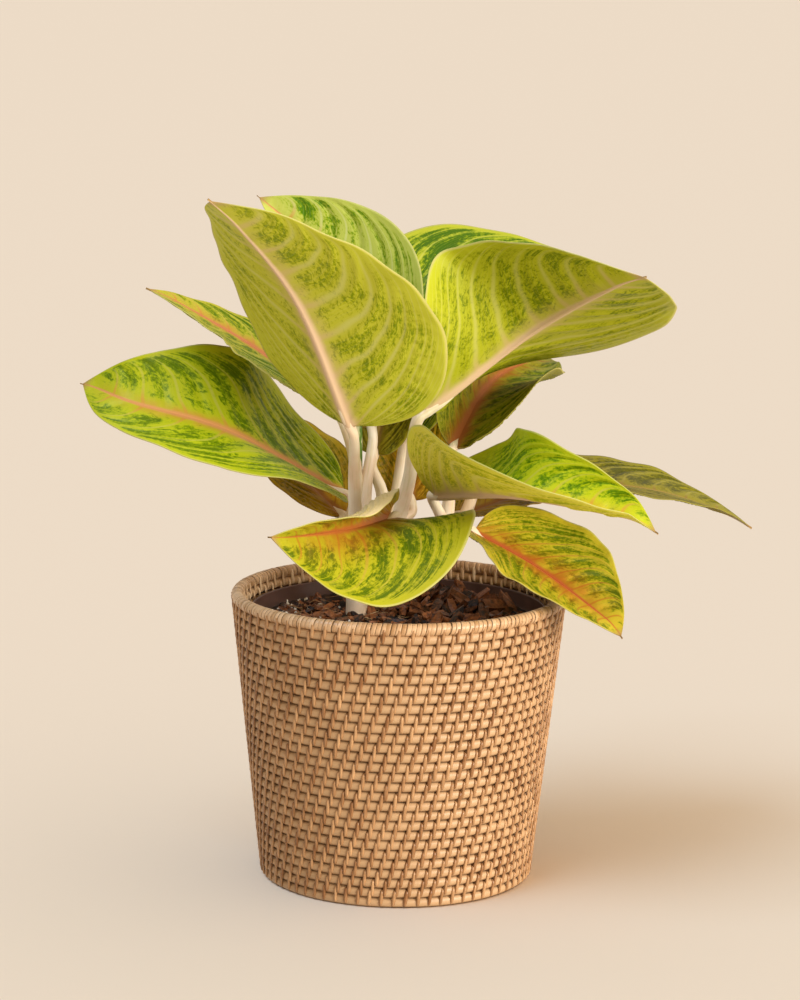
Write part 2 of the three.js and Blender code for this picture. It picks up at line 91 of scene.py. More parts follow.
# rib is the midrib's course in millimetres, face the upper side's bearing and height in degrees; the
# pairs are for the two halves of a blade
PLAIN_LEAF = dict(twist=0, full=0.2, wave=1.0, lobe=(12, 12), hook=(0, 0, 0))
LEAVES = {
    "leaf_tall_front_left": dict(
        rib=[(-34, -61, 321), (-68, -113, 410), (-114, -188, 478)], face=(56, -20), twist=12,
        half=(85, 66), fold=(13, 10), curl=(8, 5), full=0.6, wave=1.6, phase=0.1,
        hook=(-6, 1, 2), look="lime"),
    "leaf_tall_back_left": dict(
        rib=[(-20, 14, 308), (-32, 42, 397), (-98, 82, 457)], face=(-128, 47), twist=3,
        half=(26, 56), fold=(10, 16), curl=(12, 16), lobe=(0, 12), wave=1.2, phase=0.4,
        hook=(-4, 0, 2), look="lime"),
    "leaf_tall_back_right": dict(
        rib=[(4, 62, 295), (32, 92, 393), (141, 117, 407)], face=(-70, 48), twist=-10,
        half=(57, 28), fold=(2, 12), curl=(0, 12), lobe=(0, 0), wave=1.2, phase=0.7, look="moss"),
    "leaf_tall_front_right": dict(
        rib=[(18, -34, 327), (91, -46, 386), (148, -145, 432)], face=(48, 72),
        half=(92, 88), fold=(8, 16), curl=(4, 13), wave=1.8, phase=0.3, hook=(5, 0, -1), look="pear"),
    "leaf_mid_left": dict(
        rib=[(-48, -14, 326), (-100.5, 33, 358), (-172, 42, 398)], face=(-49, 59), twist=4,
        half=(52, 29), fold=(17, 4), curl=(13, 0), lobe=(0, 0), wave=0.8, phase=0.5,
        hook=(-4, 0, 0), look="gold"),
    "leaf_low_left": dict(
        rib=[(-39, 44, 256), (-116, 9, 304), (-183, 12, 323), (-218, 38, 333)], face=(-143, 49),
        twist=-5, half=(46, 68), fold=(5, 13), curl=(3, 14), lobe=(2, 2), phase=0.2,
        hook=(-3, 0, -1), look="green"),
    "leaf_low_back_left": dict(
        rib=[(-40, 50, 240), (-92, 90, 279), (-139, 126, 294)], face=(-60, 50),
        half=(28, 40), fold=(8, 8), curl=(10, 10), lobe=(0, 0), phase=0.6, look="bronze"),
    "leaf_low_front": dict(
        rib=[(-5, -27, 253), (-32, -96, 258), (-79, -158, 263)], face=(-113, 18), twist=-10,
        half=(68, 26), fold=(-18, 45), fold_tip=(-8, 75), curl=(16, 150), roll=(0.3, 0.4),
        lobe=(28, 56), phase=0.1, hook=(-4, -1, 1), look="olive"),
    "leaf_mid_right": dict(
        rib=[(26, -19, 267), (78, -92, 280), (167, -105, 266)], face=(-54, 47), twist=-5,
        half=(46, 63), fold=(30, 33), curl=(49, 29), wave=1.2, phase=0.8, hook=(1, 0, -7), look="bright"),
    "leaf_long_right": dict(
        rib=[(63, 44, 266), (168, 64, 259), (248, 83, 233)], face=(-90, 82),
        half=(53, 54), fold=(5, 8), curl=(3, 7), wave=1.6, phase=0.2, hook=(1, 0, -5), look="dusk"),
    "leaf_low_right": dict(
        rib=[(50, 5, 238), (96, -17, 216), (148, -68, 186)], face=(-80, 83), twist=8,
        half=(47, 56), fold=(16, 12), curl=(20, 11), wave=1.2, phase=0.5, hook=(1, 0, -5), look="amber"),
    "leaf_mid_back_right": dict(
        rib=[(36, 17, 294), (63, 68, 332), (103, 125, 345)], face=(-95, 13),
        half=(26, 62), fold=(16, 31), curl=(12, 50), lobe=(0, 12), phase=0.9, look="sepia"),
    "leaf_low_back": dict(
        rib=[(8, 54, 250), (4, 78, 300), (-8, 110, 345)], face=(-90, 20),
        half=(27, 27), fold=(10, 10), curl=(12, 12), lobe=(4, 4), phase=0.3, look="bronze"),
    "leaf_low_back_right": dict(
        rib=[(42, 54, 240), (86, 86, 248), (134, 118, 238)], face=(-90, 75),
        half=(27, 27), fold=(10, 10), curl=(10, 10), lobe=(2, 2), phase=0.7, look="bronze"),
    "leaf_inner_back": dict(
        rib=[(-18, 22, 288), (-8, 38, 333), (-2, 64, 370)], face=(-100, 40),
        half=(20, 22), fold=(10, 10), curl=(10, 10), lobe=(2, 2), wave=0.8, phase=0.2, look="dusk"),
}

LEAVES = {name: {**PLAIN_LEAF, **leaf} for name, leaf in LEAVES.items()}

PETIOLE_RADII = [5, 4, 3.5]
THICKER = {"leaf_tall_front_right": [5.5, 4.5, 4]}
STEMS = {
    "stem_left": dict(
        cane=([(-29, 18, 150), (-29, 18, 180), (-29, 14, 208), (-31, 8, 240)], [7.5, 7.5, 8, 8]),
        petioles={
            "leaf_tall_front_left": [(-29, 6, 225), (-31, -20, 275)],
            "leaf_tall_back_left": [(-26, 8, 225), (-23, 8, 270)],
            "leaf_mid_left": [(-30, 8, 225), (-31, 4, 285)],
            "leaf_low_left": [(-31, 16, 220), (-34, 28, 240)],
            "leaf_low_back_left": [(-30, 18, 208), (-34, 32, 226)],
        }),
    "stem_middle": dict(
        cane=([(-10, 40, 150), (-10, 40, 180), (-9, 36, 208), (-6, 30, 235)], [7, 7, 7.5, 7.5]),
        petioles={
            "leaf_tall_back_right": [(-6, 34, 225), (-1, 48, 265)],
            "leaf_tall_front_right": [(-6, 26, 225), (6, -2, 275)],
            "leaf_low_front": [(-8, 30, 208), (-6, 4, 235)],
            "leaf_low_back": [(-5, 36, 218), (1, 46, 237)],
            "leaf_inner_back": [(-8, 30, 225), (-13, 27, 262)],
        }),
    "stem_right": dict(
        cane=([(16, 62, 150), (16, 62, 180), (24, 50, 205), (32, 36, 228)], [7, 7, 7.5, 7.5]),
        petioles={
            "leaf_mid_right": [(30, 38, 220), (29, 10, 245)],
            "leaf_long_right": [(31, 38, 220), (46, 40, 245)],
            "leaf_low_right": [(27, 44, 210), (40, 24, 228)],
            "leaf_mid_back_right": [(31, 37, 220), (34, 28, 262)],
            "leaf_low_back_right": [(28, 42, 215), (35, 48, 230)],
        }),
}

YOUNG_LEAF = (
    [(-28, 17, 238), (-29, 15, 258), (-29.3, 12, 282), (-29.2, 9, 306), (-29, 6, 326)],
    [3.2, 3.6, 3.6, 2.8, 0.8])


# Materials

def linear(hex_code):
    """Linear colour of an sRGB hex code."""
    parts = [int(hex_code[k:k + 2], 16) / 255 for k in (1, 3, 5)]
    return [p / 12.92 if p <= 0.04045 else ((p + 0.055) / 1.055) ** 2.4 for p in parts] + [1.0]


def live(node):
    """A node's first output that is in use."""
    return next(out for out in node.outputs if out.enabled)


def add_node(tree, kind, settings=None, inputs=None):
    """Adds a node. Inputs go by name or number, each a value, a socket or a node's first live output."""
    made = tree.nodes.new(kind)
    for key, value in (settings or {}).items():
        setattr(made, key, value)
    for key, value in (inputs or {}).items():
        value = live(value) if isinstance(value, bpy.types.Node) else value
        if isinstance(value, bpy.types.NodeSocket):
            tree.links.new(value, made.inputs[key])
        else:
            made.inputs[key].default_value = value
    return made


def new_material(name, **settings):
    """Material with one principled shader whose plain sockets are set here, what adds nodes to it,
    and the place in the object."""
    material = bpy.data.materials.new(name)
    material.use_nodes = True
    for key, value in settings.items():
        material.node_tree.nodes["Principled BSDF"].inputs[key.replace("_", " ")].default_value = value
    add = partial(add_node, material.node_tree)
    return material, add, add("ShaderNodeTexCoord").outputs["Object"]


def finished(material, colour, relief=None, rough=None):
    """The material with its nodes linked to the shader: colour, relief as a bump's strength, depth in
    metres and height, and roughness."""
    tree = material.node_tree
    shader = tree.nodes["Principled BSDF"]
    names = ("Strength", "Distance", "Height")
    bump = relief and add_node(tree, "ShaderNodeBump", None, dict(zip(names, relief)))
    for key, node in (("Base Color", colour), ("Normal", bump), ("Roughness", rough)):
        if node:
            tree.links.new(live(node), shader.inputs[key])
    return material


MATH = "ShaderNodeMath"
MIX = "ShaderNodeMix"
RANGE = "ShaderNodeMapRange"
NOISE = "ShaderNodeTexNoise"
ATTRIBUTE = "ShaderNodeAttribute"
SPLIT = "ShaderNodeSeparateXYZ"
COLOUR = {"data_type": "RGBA"}
SMOOTH = {"interpolation_type": "SMOOTHSTEP"}
ADD, MULTIPLY, MULTIPLY_ADD, PINGPONG = (
    {"operation": word} for word in ("ADD", "MULTIPLY", "MULTIPLY_ADD", "PINGPONG"))


def leaf_material(name, look, seed):
    """Waxy leaf skin, grown: satin, with flecks of darker green in bands between the lateral veins,
    pale veins about 20 mm apart, a coral blush along the midrib and a thin pale margin."""
    material, add, place = new_material(name, IOR=1.45, Specular_IOR_Level=0.15)
    tones = {key: linear(look[key]) for key in TONES}
    vein_at, blade_at = (
        add(SPLIT, None, {0: add(ATTRIBUTE, {"attribute_name": key}).outputs["Vector"]})
        for key in ("veins", "blade"))
    along, to_margin = blade_at.outputs[0], blade_at.outputs[1]
    across = add(MATH, {"operation": "ABSOLUTE"}, {0: vein_at.outputs[1]})
    drift, grain, patch, uneven = (
        add(NOISE, None, {"Vector": place, "Scale": scale, "Detail": detail, "Roughness": rough})
        for scale, detail, rough in (
            (15.0, 2.0, 0.5), (420.0, 4.0, 0.65), (30.0, 3.0, 0.5), (95.0, 3.0, 0.5)))
    # the vein number wanders a little, so that no two veins run alike
    vein = add(MATH, MULTIPLY_ADD, {0: drift, 1: 1.1, 2: vein_at.outputs[0]})
    near = add(MATH, PINGPONG, {0: vein, 1: 0.5})
    # flecks, 3 to 5 mm wide and 3 to 6 mm long, with a grain of 1 to 2 mm at their edges
    crosswise = add(MATH, MULTIPLY, {0: vein, 1: look["flecks"]})
    lengthwise = add(MATH, MULTIPLY, {0: vein_at.outputs[1], 1: look["length"]})
    fleck_at = add("ShaderNodeCombineXYZ", None, {0: crosswise, 1: lengthwise, 2: seed})
    fleck = add(NOISE, None, {
        "Vector": fleck_at, "Scale": 1.0, "Detail": 8.0, "Roughness": 0.72, "Distortion": 1.0})
    for added, share in ((grain, 0.38), (patch, 0.5)):
        fleck = add(MATH, MULTIPLY_ADD, {0: added, 1: share, 2: fleck})
    # more of them between the veins, none close to the margin, few beside the rib
    for value, start, end, low, high in (
            (near, 0.04, 0.34, -look["banding"], look["banding"]),
            (to_margin, 0.88, 0.97, 0.0, -0.3),
            (across, 12.0, 1.0, 0.0, -0.2)):
        added = add(RANGE, SMOOTH, {0: value, 1: start, 2: end, 3: low, 4: high})
        fleck = add(MATH, ADD, {0: fleck, 1: added})
    spread = look["spread"]
    middle, dark = (
        add(RANGE, SMOOTH, {0: fleck, 1: level - spread, 2: level + spread})
        for level in (look["level"], look["level"] + 0.08))
    # fine veins between the lateral ones, 3 mm apart
    fine = add(MATH, MULTIPLY, {0: vein, 1: 7.0})
    fine = add(MATH, PINGPONG, {0: fine, 1: 0.5})
    fine = add(RANGE, SMOOTH, {0: fine, 1: 0.2, 2: 0.02, 4: look["fine_veins"]})
    # lateral veins, strong at the rib and weak near the margin
    line = add(RANGE, SMOOTH, {0: near, 1: look["vein_width"], 2: 0.02, 4: look["veins"]})
    fade = add(RANGE, SMOOTH, {0: to_margin, 1: 1.0, 2: 0.5, 3: 0.35, 4: 1.0})
    line = add(MATH, MULTIPLY, {0: line, 1: fade})
    reach = add(RANGE, SMOOTH, {0: across, 1: look["blush_reach"] * 1.6, 2: 2.0})
    vein_colour = add(MIX, COLOUR, {0: reach, 6: tones["vein"], 7: tones["blush"]})
    # blush beside the rib, uneven, and gone at the tip
    uneven = add(RANGE, SMOOTH, {0: uneven, 1: 0.3, 2: 0.62, 3: 0.3, 4: 1.0})
    ending = add(RANGE, SMOOTH, {0: along, 1: 1.0, 2: 0.55, 3: 0.1, 4: 1.0})
    blush = add(RANGE, SMOOTH, {0: across, 1: look["blush_reach"], 2: 0.5, 4: look["blush_strength"]})
    for share in (uneven, ending):
        blush = add(MATH, MULTIPLY, {0: blush, 1: share})
    # the rib tapers from its full width at the base to a thread at the tip, with soft edges
    rib_width = add(RANGE, None, {0: along, 3: look["rib_width"], 4: 0.5})
    rib = add(MATH, {"operation": "DIVIDE"}, {0: across, 1: rib_width})
    rib = add(RANGE, SMOOTH, {0: rib, 1: 1.5, 2: 0.35, 4: 0.92})
    margin = add(RANGE, SMOOTH, {0: to_margin, 1: 0.972, 2: 0.995, 4: 0.75})
    tip = add(RANGE, SMOOTH, {0: along, 1: 0.955, 2: 0.995})
    colour = tones["base"]
    for share, over in (
            (middle, tones["middle"]), (dark, tones["dark"]), (fine, tones["vein"]), (line, vein_colour),
            (blush, tones["blush"]), (rib, tones["rib"]), (margin, tones["margin"]), (tip, tones["tip"])):
        colour = add(MIX, COLOUR, {0: share, 6: colour, 7: over})
    rough = add(RANGE, None, {0: grain, 3: look["rough"] - 0.06, 4: look["rough"] + 0.08})
    return finished(material, colour, (0.3, 0.0004, grain), rough)


TONES = ("base", "middle", "dark", "vein", "blush", "rib", "margin", "tip")


UPPER = dict(
    base="#a9ae16", middle="#839606", dark="#566e02", vein="#b4b048", blush="#c28038", rib="#cb8c54",
    margin="#b8b26a", tip="#9c7a46", flecks=4.0, length=0.2, banding=0.05, level=0.93, spread=0.07,
    fine_veins=0.1, vein_width=0.07, veins=0.6, blush_reach=10.0, blush_strength=0.8, rib_width=5.4,
    rough=0.36)
UNDER = dict(
    base="#b2b522", middle="#989e0c", dark="#6c7e03", vein="#c8c66c", blush="#ccb07c", rib="#dcbc9c",
    margin="#c6ba74", tip="#b6986a", flecks=5.5, length=0.34, banding=0.04, level=0.97, spread=0.07,
    fine_veins=0.1, vein_width=0.15, veins=0.55, blush_reach=17.0, blush_strength=0.6, rib_width=6.4,
    rough=0.46)
# under skin brighter than the plain one: painted light on undersides that lie in shade
UNDER_PAINTED_LIGHT = dict(UNDER, base="#e2de48", middle="#ccc926", dark="#a4ae0e", vein="#e6e080")
LOOKS = {
    # the tall left leaves: their under skin is brighter than the plain one, painted light
    "lime": (
        dict(UPPER, base="#b4ba4e", middle="#8fa010", dark="#4e7604", vein="#c8ca80", level=0.96),
        dict(UNDER, base="#bfc134", middle="#a6ab12", dark="#788a04", vein="#cccb78")),
    "pear": (UPPER, UNDER),
    "bright": (
        dict(UPPER, base="#b0b616", middle="#889e06", dark="#507203", level=0.94),
        UNDER_PAINTED_LIGHT),
    "green": (UPPER, UNDER_PAINTED_LIGHT),
    "moss": (
        dict(UPPER, base="#a0a226", middle="#7a8a0a", dark="#3c5c04", level=0.87, vein="#b2b04c",
             rib="#b28951"),
        UNDER),
    "gold": (
        dict(UPPER, base="#a8a02a", middle="#848c08", dark="#4e6603", level=0.9, blush="#b96e38",
             rib="#b97048"),
        UNDER),
    "olive": (
        dict(UPPER, base="#a29e1a", middle="#808506", dark="#4a5e02", level=0.91, vein="#b2a240",
             blush="#a25c1c", rib="#aa5f2d", blush_reach=32.0, blush_strength=0.75),
        dict(UNDER, base="#d6bf90", middle="#cdb582", dark="#bca668", vein="#dcc89c")),
    "dusk": (
        dict(UPPER, base="#857c14", middle="#6c6608", dark="#4a4a04", vein="#958b38", blush="#80602c",
             rib="#94783f", blush_reach=7.0, blush_strength=0.4, rib_width=2.6, margin="#8c8440"),
        dict(UNDER, base="#8c8234", middle="#7c7420")),
    "amber": (
        dict(UPPER, base="#bcac28", middle="#989a10", dark="#5a6e03", level=0.91, vein="#b58a40",
             blush="#a9551f", rib="#b45a32", blush_reach=25.0, blush_strength=0.85, rib_width=4.4),
        UNDER),
    # darker, browner tones: partly painted shade on this back leaf
    "sepia": (
        dict(UPPER, base="#8c8a1c", middle="#6c7408", dark="#435202", level=0.9, vein="#98903c",
             blush="#8f4516", rib="#a35f34", blush_reach=17.0, blush_strength=0.8, margin="#8c8440"),
        dict(UNDER, base="#94902c", middle="#7e8014", dark="#5c6206", vein="#a09a4c")),
    # brown-orange tones on these back leaves: partly their coral veins, partly painted shade with light
    # shining through
    "bronze": (
        dict(UPPER, base="#b8981c", middle="#9c7c0a", dark="#666803", vein="#9c7531", blush="#92511d",
             rib="#a36e3c", blush_reach=14.0, blush_strength=0.7, rib_width=3.4, margin="#94783a"),
        dict(UNDER, base="#c89a2a", middle="#b48614", dark="#927808", vein="#c09a4c", rib="#c49a66")),
}


def rattan_material(name, light, shade, seam, rough):
    """Peeled rattan, split or round, lightly varnished: long fibres, each length its own tone,
    with painted shade where it dives between its neighbours."""
    material, add, place = new_material(name, IOR=1.5, Roughness=rough)
    lie = add(ATTRIBUTE, {"attribute_name": "lie"}).outputs["Vector"]
    lie_at = add(SPLIT, None, {0: lie})
    # fibres 0.4 mm apart, drawn 0.8 mm apart so that they show, and 30 mm long
    fibre_at = add("ShaderNodeVectorMath", MULTIPLY, {0: lie, 1: (1.0, 0.0, 1.0)})
    fibre = add(NOISE, None, {"Vector": fibre_at, "Scale": 1.0, "Detail": 3.0})
    blotch = add(NOISE, None, {"Vector": place, "Scale": 85.0, "Detail": 4.0, "Roughness": 0.6})
    tone = add(MATH, ADD, {0: fibre, 1: blotch})
    tone = add(MATH, MULTIPLY_ADD, {0: lie_at.outputs[2], 1: 0.035, 2: tone})
    tone = add(RANGE, None, {0: tone, 1: 0.9, 2: 1.62})
    colour = add(MIX, COLOUR, {0: tone, 6: linear(shade), 7: linear(light)})
    # painted shade: the cane takes the seam colour where it goes into a seam between its neighbours
    deep = add(RANGE, SMOOTH, {0: lie_at.outputs[1], 1: 0.3, 2: 1.0})
    colour = add(MIX, COLOUR, {0: deep, 6: colour, 7: linear(seam)})
    return finished(material, colour, (0.3, 0.0003, fibre))


def pot_material():
    """Polypropylene, moulded in dark plum brown: a dull sheen, and lighter, rougher patches that are partly
    dust and partly painted sheen.
    """
    material, add, place = new_material("moulded_polypropylene_plum", IOR=1.49)
    dust_and_sheen = add(NOISE, None, {"Vector": place, "Scale": 60.0, "Detail": 5.0})
    # lighter, rougher patches: partly dust, partly painted sheen
    colour = add(MIX, COLOUR, {0: dust_and_sheen, 6: linear("#3c2620"), 7: linear("#6a4a40")})
    rough = add(RANGE, None, {0: dust_and_sheen, 3: 0.3, 4: 0.55})
    return finished(material, colour, rough=rough)


def earthy_material(name, dark, light, scale, rough):
    """Plant or mineral matter, crumbled or split: mottled between two tones, with a rough grain."""
    material, add, place = new_material(name, IOR=1.4, Roughness=rough)
    lie = add(ATTRIBUTE, {"attribute_name": "lie"}).outputs["Vector"]
    lie_at = add(SPLIT, None, {0: lie})
    grain = add(NOISE, None, {"Vector": place, "Scale": scale, "Detail": 6.0, "Roughness": 0.65})
    tone = add(MATH, MULTIPLY_ADD, {0: lie_at.outputs[2], 1: 0.3, 2: grain})
    tone = add(RANGE, None, {0: tone, 1: 0.5, 2: 1.0})
    colour = add(MIX, COLOUR, {0: tone, 6: linear(dark), 7: linear(light)})
    return finished(material, colour, (0.6, 0.0008, grain))


def petiole_material():
    """Fleshy leaf stalk, smooth and waxy: cream, with faint long green streaks and a blush of pink."""
    material, add, place = new_material("petiole_skin_cream", IOR=1.42, Roughness=0.42)
    lie = add(ATTRIBUTE, {"attribute_name": "lie"}).outputs["Vector"]
    streak_at = add("ShaderNodeVectorMath", MULTIPLY, {0: lie, 1: (3.0, 0.4, 1.0)})
    streak = add(NOISE, None, {"Vector": streak_at, "Scale": 1.0, "Detail": 3.0})
    blotch = add(NOISE, None, {"Vector": place, "Scale": 40.0, "Detail": 3.0})
    pink = add(RANGE, SMOOTH, {0: blotch, 1: 0.42, 2: 0.62, 4: 0.55})
    green = add(RANGE, SMOOTH, {0: streak, 1: 0.5, 2: 0.7, 4: 0.35})
    colour = add(MIX, COLOUR, {0: pink, 6: linear("#f2e4ca"), 7: linear("#eac8a8")})
    colour = add(MIX, COLOUR, {0: green, 6: colour, 7: linear("#cfc07c")})
    return finished(material, colour, (0.25, 0.0004, streak))


def young_leaf_material():
    """Rolled young leaf, grown: smooth, pale cream with long green streaks that follow its length."""
    material, add, _ = new_material("young_leaf_skin_striped", IOR=1.42, Roughness=0.4)
    lie = add(ATTRIBUTE, {"attribute_name": "lie"}).outputs["Vector"]
    streak_at = add("ShaderNodeVectorMath", MULTIPLY, {0: lie, 1: (0.9, 0.9, 1.0)})
    streak = add(NOISE, None, {"Vector": streak_at, "Scale": 1.0, "Detail": 4.0, "Distortion": 0.4})
    green = add(RANGE, SMOOTH, {0: streak, 1: 0.42, 2: 0.52})
    colour = add(MIX, COLOUR, {0: green, 6: linear("#d9d8a6"), 7: linear("#5f8230")})
    return finished(material, colour)


# Shapes

def mesh_piece(name, shape, materials, slots=None, **attributes):
    """Object from a shape in millimetres: its points, its four and three cornered faces, and each
    point's lie in the material or None. Attributes too are three numbers for each point."""
    points, quads, triangles, lie = shape
    if lie is not None:
        attributes["lie"] = lie
    mesh = bpy.data.meshes.new(name)
    corners = np.concatenate([quads.ravel(), triangles.ravel()]).astype(np.int32)
    sizes = np.repeat([4, 3], [len(quads), len(triangles)])
    mesh.vertices.add(len(points))
    mesh.vertices.foreach_set("co", (points * MM).astype(np.float32).ravel())
    mesh.loops.add(len(corners))
    mesh.loops.foreach_set("vertex_index", corners)
    mesh.polygons.add(len(sizes))
    mesh.polygons.foreach_set("loop_start", np.r_[0, np.cumsum(sizes)[:-1]].astype(np.int32))
    for key, values in attributes.items():
        layer = mesh.attributes.new(key, "FLOAT_VECTOR", "POINT")
        layer.data.foreach_set("vector", values.astype(np.float32).ravel())
    for material in materials:
        mesh.materials.append(material)
    if slots is not None:
        mesh.polygons.foreach_set("material_index", slots.astype(np.int32))
    mesh.update(calc_edges=True)
    mesh.validate()
    mesh.polygons.foreach_set("use_smooth", np.ones(len(mesh.polygons), bool))
    piece = bpy.data.objects.new(name, mesh)
    bpy.context.scene.collection.objects.link(piece)
    return piece


def grid_faces(rows, columns, wrap_columns=False, wrap_rows=False):
    """Four corners of each cell of a grid of points, rows first; facing the way that the row
    direction turned onto the column direction gives."""
    r = np.arange(rows if wrap_rows else rows - 1)
    c = np.arange(columns if wrap_columns else columns - 1)
    r, c = np.meshgrid(r, c, indexing="ij")
    below = (r + 1) % rows
    right = (c + 1) % columns
    cells = np.stack([r * columns + c, r * columns + right, below * columns + right, below * columns + c], -1)
    return cells.reshape(-1, 4)


NO_FACES = np.zeros((0, 3), int)


def copied(faces, count, points):
    """The faces once for each of count copies, whose points follow one another."""
    return (faces[None] + (np.arange(count) * points)[:, None, None]).reshape(-1, faces.shape[1])


def bar_faces(rings, sides):
    """Faces of a bar of rings whose points are followed by its first and its last pole."""
    c = np.arange(sides)
    n = (c + 1) % sides
    last = (rings - 1) * sides
    start = np.stack([np.full(sides, rings * sides), n, c], 1)
    end = np.stack([np.full(sides, rings * sides + 1), last + c, last + n], 1)
    return grid_faces(rings, sides, wrap_columns=True), np.concatenate([start, end])


def turn(vectors, axes, angles):
    """Each vector turned about its unit axis: its part across the axis turns, the rest stays."""
    cosine = np.cos(angles)[:, None]
    sine = np.sin(angles)[:, None]
    along = axes * np.sum(axes * vectors, 1)[:, None]
    return vectors * cosine + np.cross(axes, vectors) * sine + along * (1 - cosine)


def unit(vectors):
    """Each vector over its length."""
    return vectors / np.linalg.norm(vectors, axis=-1, keepdims=True)


def stretches(points, t):
    """For each share t of a line of points, its ends mirrored: the way into its stretch, and the
    stretch's two points between their neighbours."""
    p = np.asarray(points, float)
    p = np.vstack([2 * p[0] - p[1], p, 2 * p[-1] - p[-2]])
    place = np.clip(t * (len(p) - 3), 0, len(p) - 3 - 1e-9)
    k = place.astype(int)
    return (place - k)[:, None], p[k], p[k + 1], p[k + 2], p[k + 3]


def even_curve(points, t):
    """Uniform Catmull-Rom curve: between two points a cubic whose slope at each point is half the
    step between its neighbours."""
    f, a, b, c, d = stretches(points, t)
    square, cube = 2 * a - 5 * b + 4 * c - d, 3 * b - a - 3 * c + d
    return 0.5 * (2 * b + (c - a) * f + square * f ** 2 + cube * f ** 3)


def centripetal_curve(points, t):
    """Centripetal Catmull-Rom curve: the same cubic with each stretch timed by the root of its
    length, so that short stretches don't loop."""
    f, a, b, c, d = stretches(points, t)
    ab, bc, cd = (np.sqrt(np.linalg.norm(y - x, axis=1))[:, None] for x, y in ((a, b), (b, c), (c, d)))
    start = ((b - a) / ab - (c - a) / (ab + bc) + (c - b) / bc) * bc
    end = ((c - b) / bc - (d - b) / (bc + cd) + (d - c) / cd) * bc
    return (2 * f ** 3 - 3 * f ** 2 + 1) * b + (f ** 3 - 2 * f ** 2 + f) * start \
        + (3 * f ** 2 - 2 * f ** 3) * c + (f ** 3 - f ** 2) * end


def rib_line(leaf, u):
    """Points and unit tangents of a midrib at the shares u of its length."""
    fine = even_curve(leaf["rib"], np.linspace(0, 1, 401))
    run = np.r_[0, np.cumsum(np.linalg.norm(np.diff(fine, axis=0), axis=1))]
    points, along = (
        np.stack([np.interp(u * run[-1], run, values[:, k]) for k in range(3)], 1)
        for values in (fine, np.gradient(fine, axis=0)))
    return points, unit(along)


def outline(u, fuller_tip):
    """Half width of a blade along its rib, 1 at the widest: a power of the way from the base, for
    a rounded base, times a power of the way from the tip, for a slender tip, made fuller near the
    tip by a bell curve so that it ends in a short point."""
    t = np.clip(u / BLADE_END, 0, 1)
    widest = BASE_ROUNDNESS / (BASE_ROUNDNESS + TIP_SLENDERNESS)
    peak = widest ** BASE_ROUNDNESS * (1 - widest) ** TIP_SLENDERNESS
    fuller = 1 + fuller_tip * np.exp(-((1 - t) / 0.12) ** 2)
    return t ** BASE_ROUNDNESS * (1 - t) ** TIP_SLENDERNESS / peak * fuller


def blade_normals(leaf, u, along):
    """Upper side's direction at each row: the leaf's facing made square to the rib, then twisted."""
    bearing, height = np.radians(leaf["face"])
    level = math.cos(height)
    facing = np.array([math.cos(bearing) * level, math.sin(bearing) * level, math.sin(height)])
    normal = unit(facing - np.sum(along * facing, 1)[:, None] * along)
    return turn(normal, along, np.radians(leaf["twist"]) * (u - TWIST_CENTRE))


